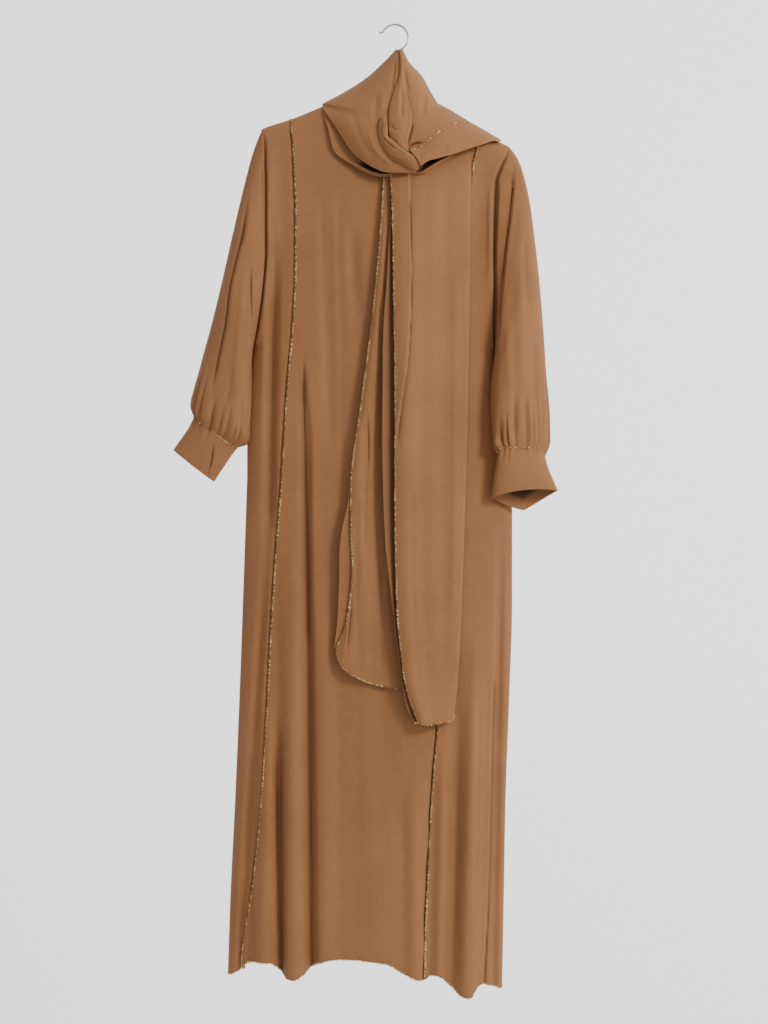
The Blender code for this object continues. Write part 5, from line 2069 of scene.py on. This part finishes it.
        # Painted shade: the slot under the drape on the lower layer, and the turned strips of the tails
        slot = self.slot_dark * eased(2.0, 6.0, spread(SHAWL_UNDER, self.steps)[:, 6:7])
        slot = slot * eased(*self.slot, np.linspace(0, 1, lower.shape[1]))[None, :]
        turned = len(self.turn_depths)
        strip = np.zeros(self.columns + turned)
        strip[:turned] = np.arange(1, turned + 1) / turned
        under = strip[None, :] * (0.7 - 0.5 * eased(960.0, 1080.0, -right_tail[:, :, 2]))
        # Painted shadow: a thin dark line along the right tail's right edge
        under[:, -1] = 0.35
        tail = {"facing": 1, "sewn": ("left", "foot"), "turned": turned}
        pieces = (
            ClothPiece("shawl_left_drape", "shawl_left", left, 1),
            ClothPiece("shawl_right_drape", "shawl_right", right, -1),
            ClothPiece("shawl_turned_band", "shawl_band", band, -1, sewn=("left",)),
            ClothPiece("shawl_peak_pleat", "shawl_pleat", pleat, 1),
            ClothPiece("shawl_twist", "shawl_knot", twist, 1),
            ClothPiece("shawl_lower_layer", "shawl_under", lower, 1, shaded=slot),
            ClothPiece("shawl_back_drape", "shawl_back", self.back(), -1, sewn=("foot",)),
            ClothPiece("left_tail_cloth", "tail_left", left_tail, shaded=0.2 * strip, **tail),
            ClothPiece("right_tail_cloth", "tail_right", right_tail, shaded=under, **tail),
        )
        return {piece.node: piece for piece in pieces}


@dataclass
class Hanger:
    """Wire hook, and the shoulder bar under the cloth."""

    wire_radius: float = 1.7
    hook_radius: float = 22.0
    tip: tuple[tuple[float, float], ...] = ((-24.5, -14.0), (-24.9, -12.4), (-25.0, -11.0))
    bend_from: float = 158.0
    bend_step: float = 3.625
    bend_points: int = 65
    stem: tuple[tuple[float, float], ...] = (
        (11.2, -47.0), (10.6, -53.0), (10.2, -60.0), (10.0, -72.0), (10.0, -84.7),
    )

    def build(self) -> bpy.types.Object:
        """Round wire of the hook and its stem.

        Returns:
            The hook as a mesh.
        """
        path = list(self.tip)
        for step in range(self.bend_points):
            angle = math.radians(self.bend_from - self.bend_step * step)
            up = self.hook_radius * (math.sin(angle) - 1) + self.wire_radius
            path.append((self.hook_radius * math.cos(angle), up))
        path += self.stem
        curve = bpy.data.curves.new("hook_wire_line", "CURVE")
        curve.dimensions = "3D"
        curve.bevel_depth = self.wire_radius / 1000.0
        curve.bevel_resolution = 5
        curve.use_fill_caps = True
        line = curve.splines.new("POLY")
        line.points.add(len(path) - 1)
        for point, (across, height) in zip(line.points, path):
            point.co = (across / 1000.0, 0.0, height / 1000.0, 1.0)
        mesh = plain_mesh(in_scene("hook_wire_line", curve), "hook_wire")
        mesh.shade_smooth()
        mesh.set_sharp_from_angle(angle=math.radians(50))
        return in_scene("hook_wire", mesh)

    def dress(self, thing: bpy.types.Object) -> None:
        """Give the hook and the bar their finishes.

        Args:
            thing: The hook.
        """
        thing.data.materials.clear()
        thing.data.materials.append(PLATED_WIRE.make())
        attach(thing, "root")
        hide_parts("hanger_hook")
        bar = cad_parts["hanger_bar"]
        finish = MOULDED_BAR.make()
        for place in bar.material_slots:
            place.material = finish
        LOG.info("hook and bar dressed")


@dataclass
class Studio:
    """Plain pale floor, soft light and the camera."""

    floor_drop: float = 2060.0
    floor_half: float = 1.0
    distance: float = 2.361
    sensor: float = 36.0
    focal: float = 50.0
    air_light: float = 1.3
    air_tint: Colour = (0.985, 0.99, 1.0)
    brighter_way: tuple[float, float, float] = (0.4, 0.75, 0.1)
    light_place: tuple[float, float, float] = (2.1, -2.0, 0.6)
    light_size: float = 0.7
    light_watts: float = 67.0
    light_tint: Colour = (1.0, 0.96, 0.87)
    target: tuple[float, float, float] = (-0.01826, -0.005, -0.80925)

    def floor(self) -> None:
        """Wide pale floor below the hem."""
        mesh = bpy.data.meshes.new("studio_floor")
        half, height = self.floor_half, -self.floor_drop / 1000.0
        corners = [(x * half, y * half, height) for x, y in ((-1, -1), (1, -1), (1, 1), (-1, 1))]
        mesh.from_pydata(corners, [], [(0, 1, 2, 3)])
        book = Paint("pale_floor")
        tone = book.mix(book.noise(3.0, 2.0), (0.80, 0.79, 0.78), (0.84, 0.83, 0.82))
        mesh.materials.append(book.finish({"Base Color": tone, "Roughness": 0.9}))
        in_scene("studio_floor", mesh)

    def light(self) -> None:
        """Soft square light that faces the garment."""
        lamp = bpy.data.lights.new("key_light", "AREA")
        lamp.size = self.light_size
        lamp.energy = self.light_watts
        lamp.color = self.light_tint
        holder = in_scene("key_light", lamp)
        way = np.array(self.target) - np.array(self.light_place)
        holder.location = self.light_place
        flat = math.hypot(way[0], way[1])
        holder.rotation_euler = (math.atan2(flat, -way[2]), 0.0, math.atan2(way[1], way[0]) - math.pi / 2)

    def camera(self) -> None:
        """Camera level with the middle of the garment."""
        lens = bpy.data.cameras.new("camera")
        lens.sensor_fit = "VERTICAL"
        lens.sensor_height = self.sensor
        lens.lens = self.focal
        holder = in_scene("camera", lens)
        holder.location = (self.target[0], self.target[1] - self.distance, self.target[2])
        holder.rotation_euler = (math.pi / 2, 0.0, 0.0)
        bpy.context.scene.camera = holder

    def build(self) -> None:
        """Set the camera, floor and lights."""
        self.camera()
        self.floor()
        world = bpy.data.worlds.new("studio_air")
        world.use_nodes = True
        book = NodeBook(world.node_tree)
        way = book.add("ShaderNodeTexCoord").outputs["Generated"]
        dot = {"operation": "DOT_PRODUCT"}
        slope = book.add("ShaderNodeVectorMath", dot, {0: way, 1: self.brighter_way})
        level = book.add("ShaderNodeMath", None, {0: slope.outputs["Value"], 1: self.air_light})
        air = world.node_tree.nodes["Background"]
        book.plug(air.inputs[0], (*self.air_tint, 1.0))
        book.plug(air.inputs[1], level.outputs[0])
        bpy.context.scene.world = world
        self.light()
        LOG.info("studio ready")


def main() -> None:
    """Build and dress the garment."""
    logging.basicConfig(level=logging.INFO, format="%(name)s: %(message)s")
    Studio().build()
    dressing = Dressing(CrepeFinish().make(), GoldThreadFinish().make())
    form = BodyForm()
    body = Body(form)
    pieces = body.build()
    for plan in (
        Sleeve(Side.LEFT, LEFT_SLEEVE, LEFT_CUFF, creases(LEFT_SLEEVE_CREASES, 8.0)),
        Sleeve(Side.RIGHT, RIGHT_SLEEVE, RIGHT_CUFF, creases(RIGHT_SLEEVE_CREASES, 8.0)),
    ):
        pieces.update(plan.build(body.armhole(plan.side, plan.armhole_steps)))
    shawl = Shawl(form).build()
    garment_edges = [edge_of(pieces[node], edge) for node, edge in GARMENT_GOLD]
    shawl_edges = [edge_of(shawl[node], edge) for node, edge in SHAWL_GOLD]
    garment_gold = Stitching("abaya_gold_overlock", 11).build(garment_edges, dressing.gold)
    shawl_gold = Stitching("shawl_gold_edge", 23).build(shawl_edges, dressing.gold)
    for node, piece in {**pieces, **shawl}.items():
        stitched = {"front_centre": (garment_gold,), "tail_right": (shawl_gold,)}.get(node, ())
        dressing.cloth(piece.build(), node, stitched)
    hanger = Hanger()
    hanger.dress(hanger.build())


if __name__ == "__main__":
    main()
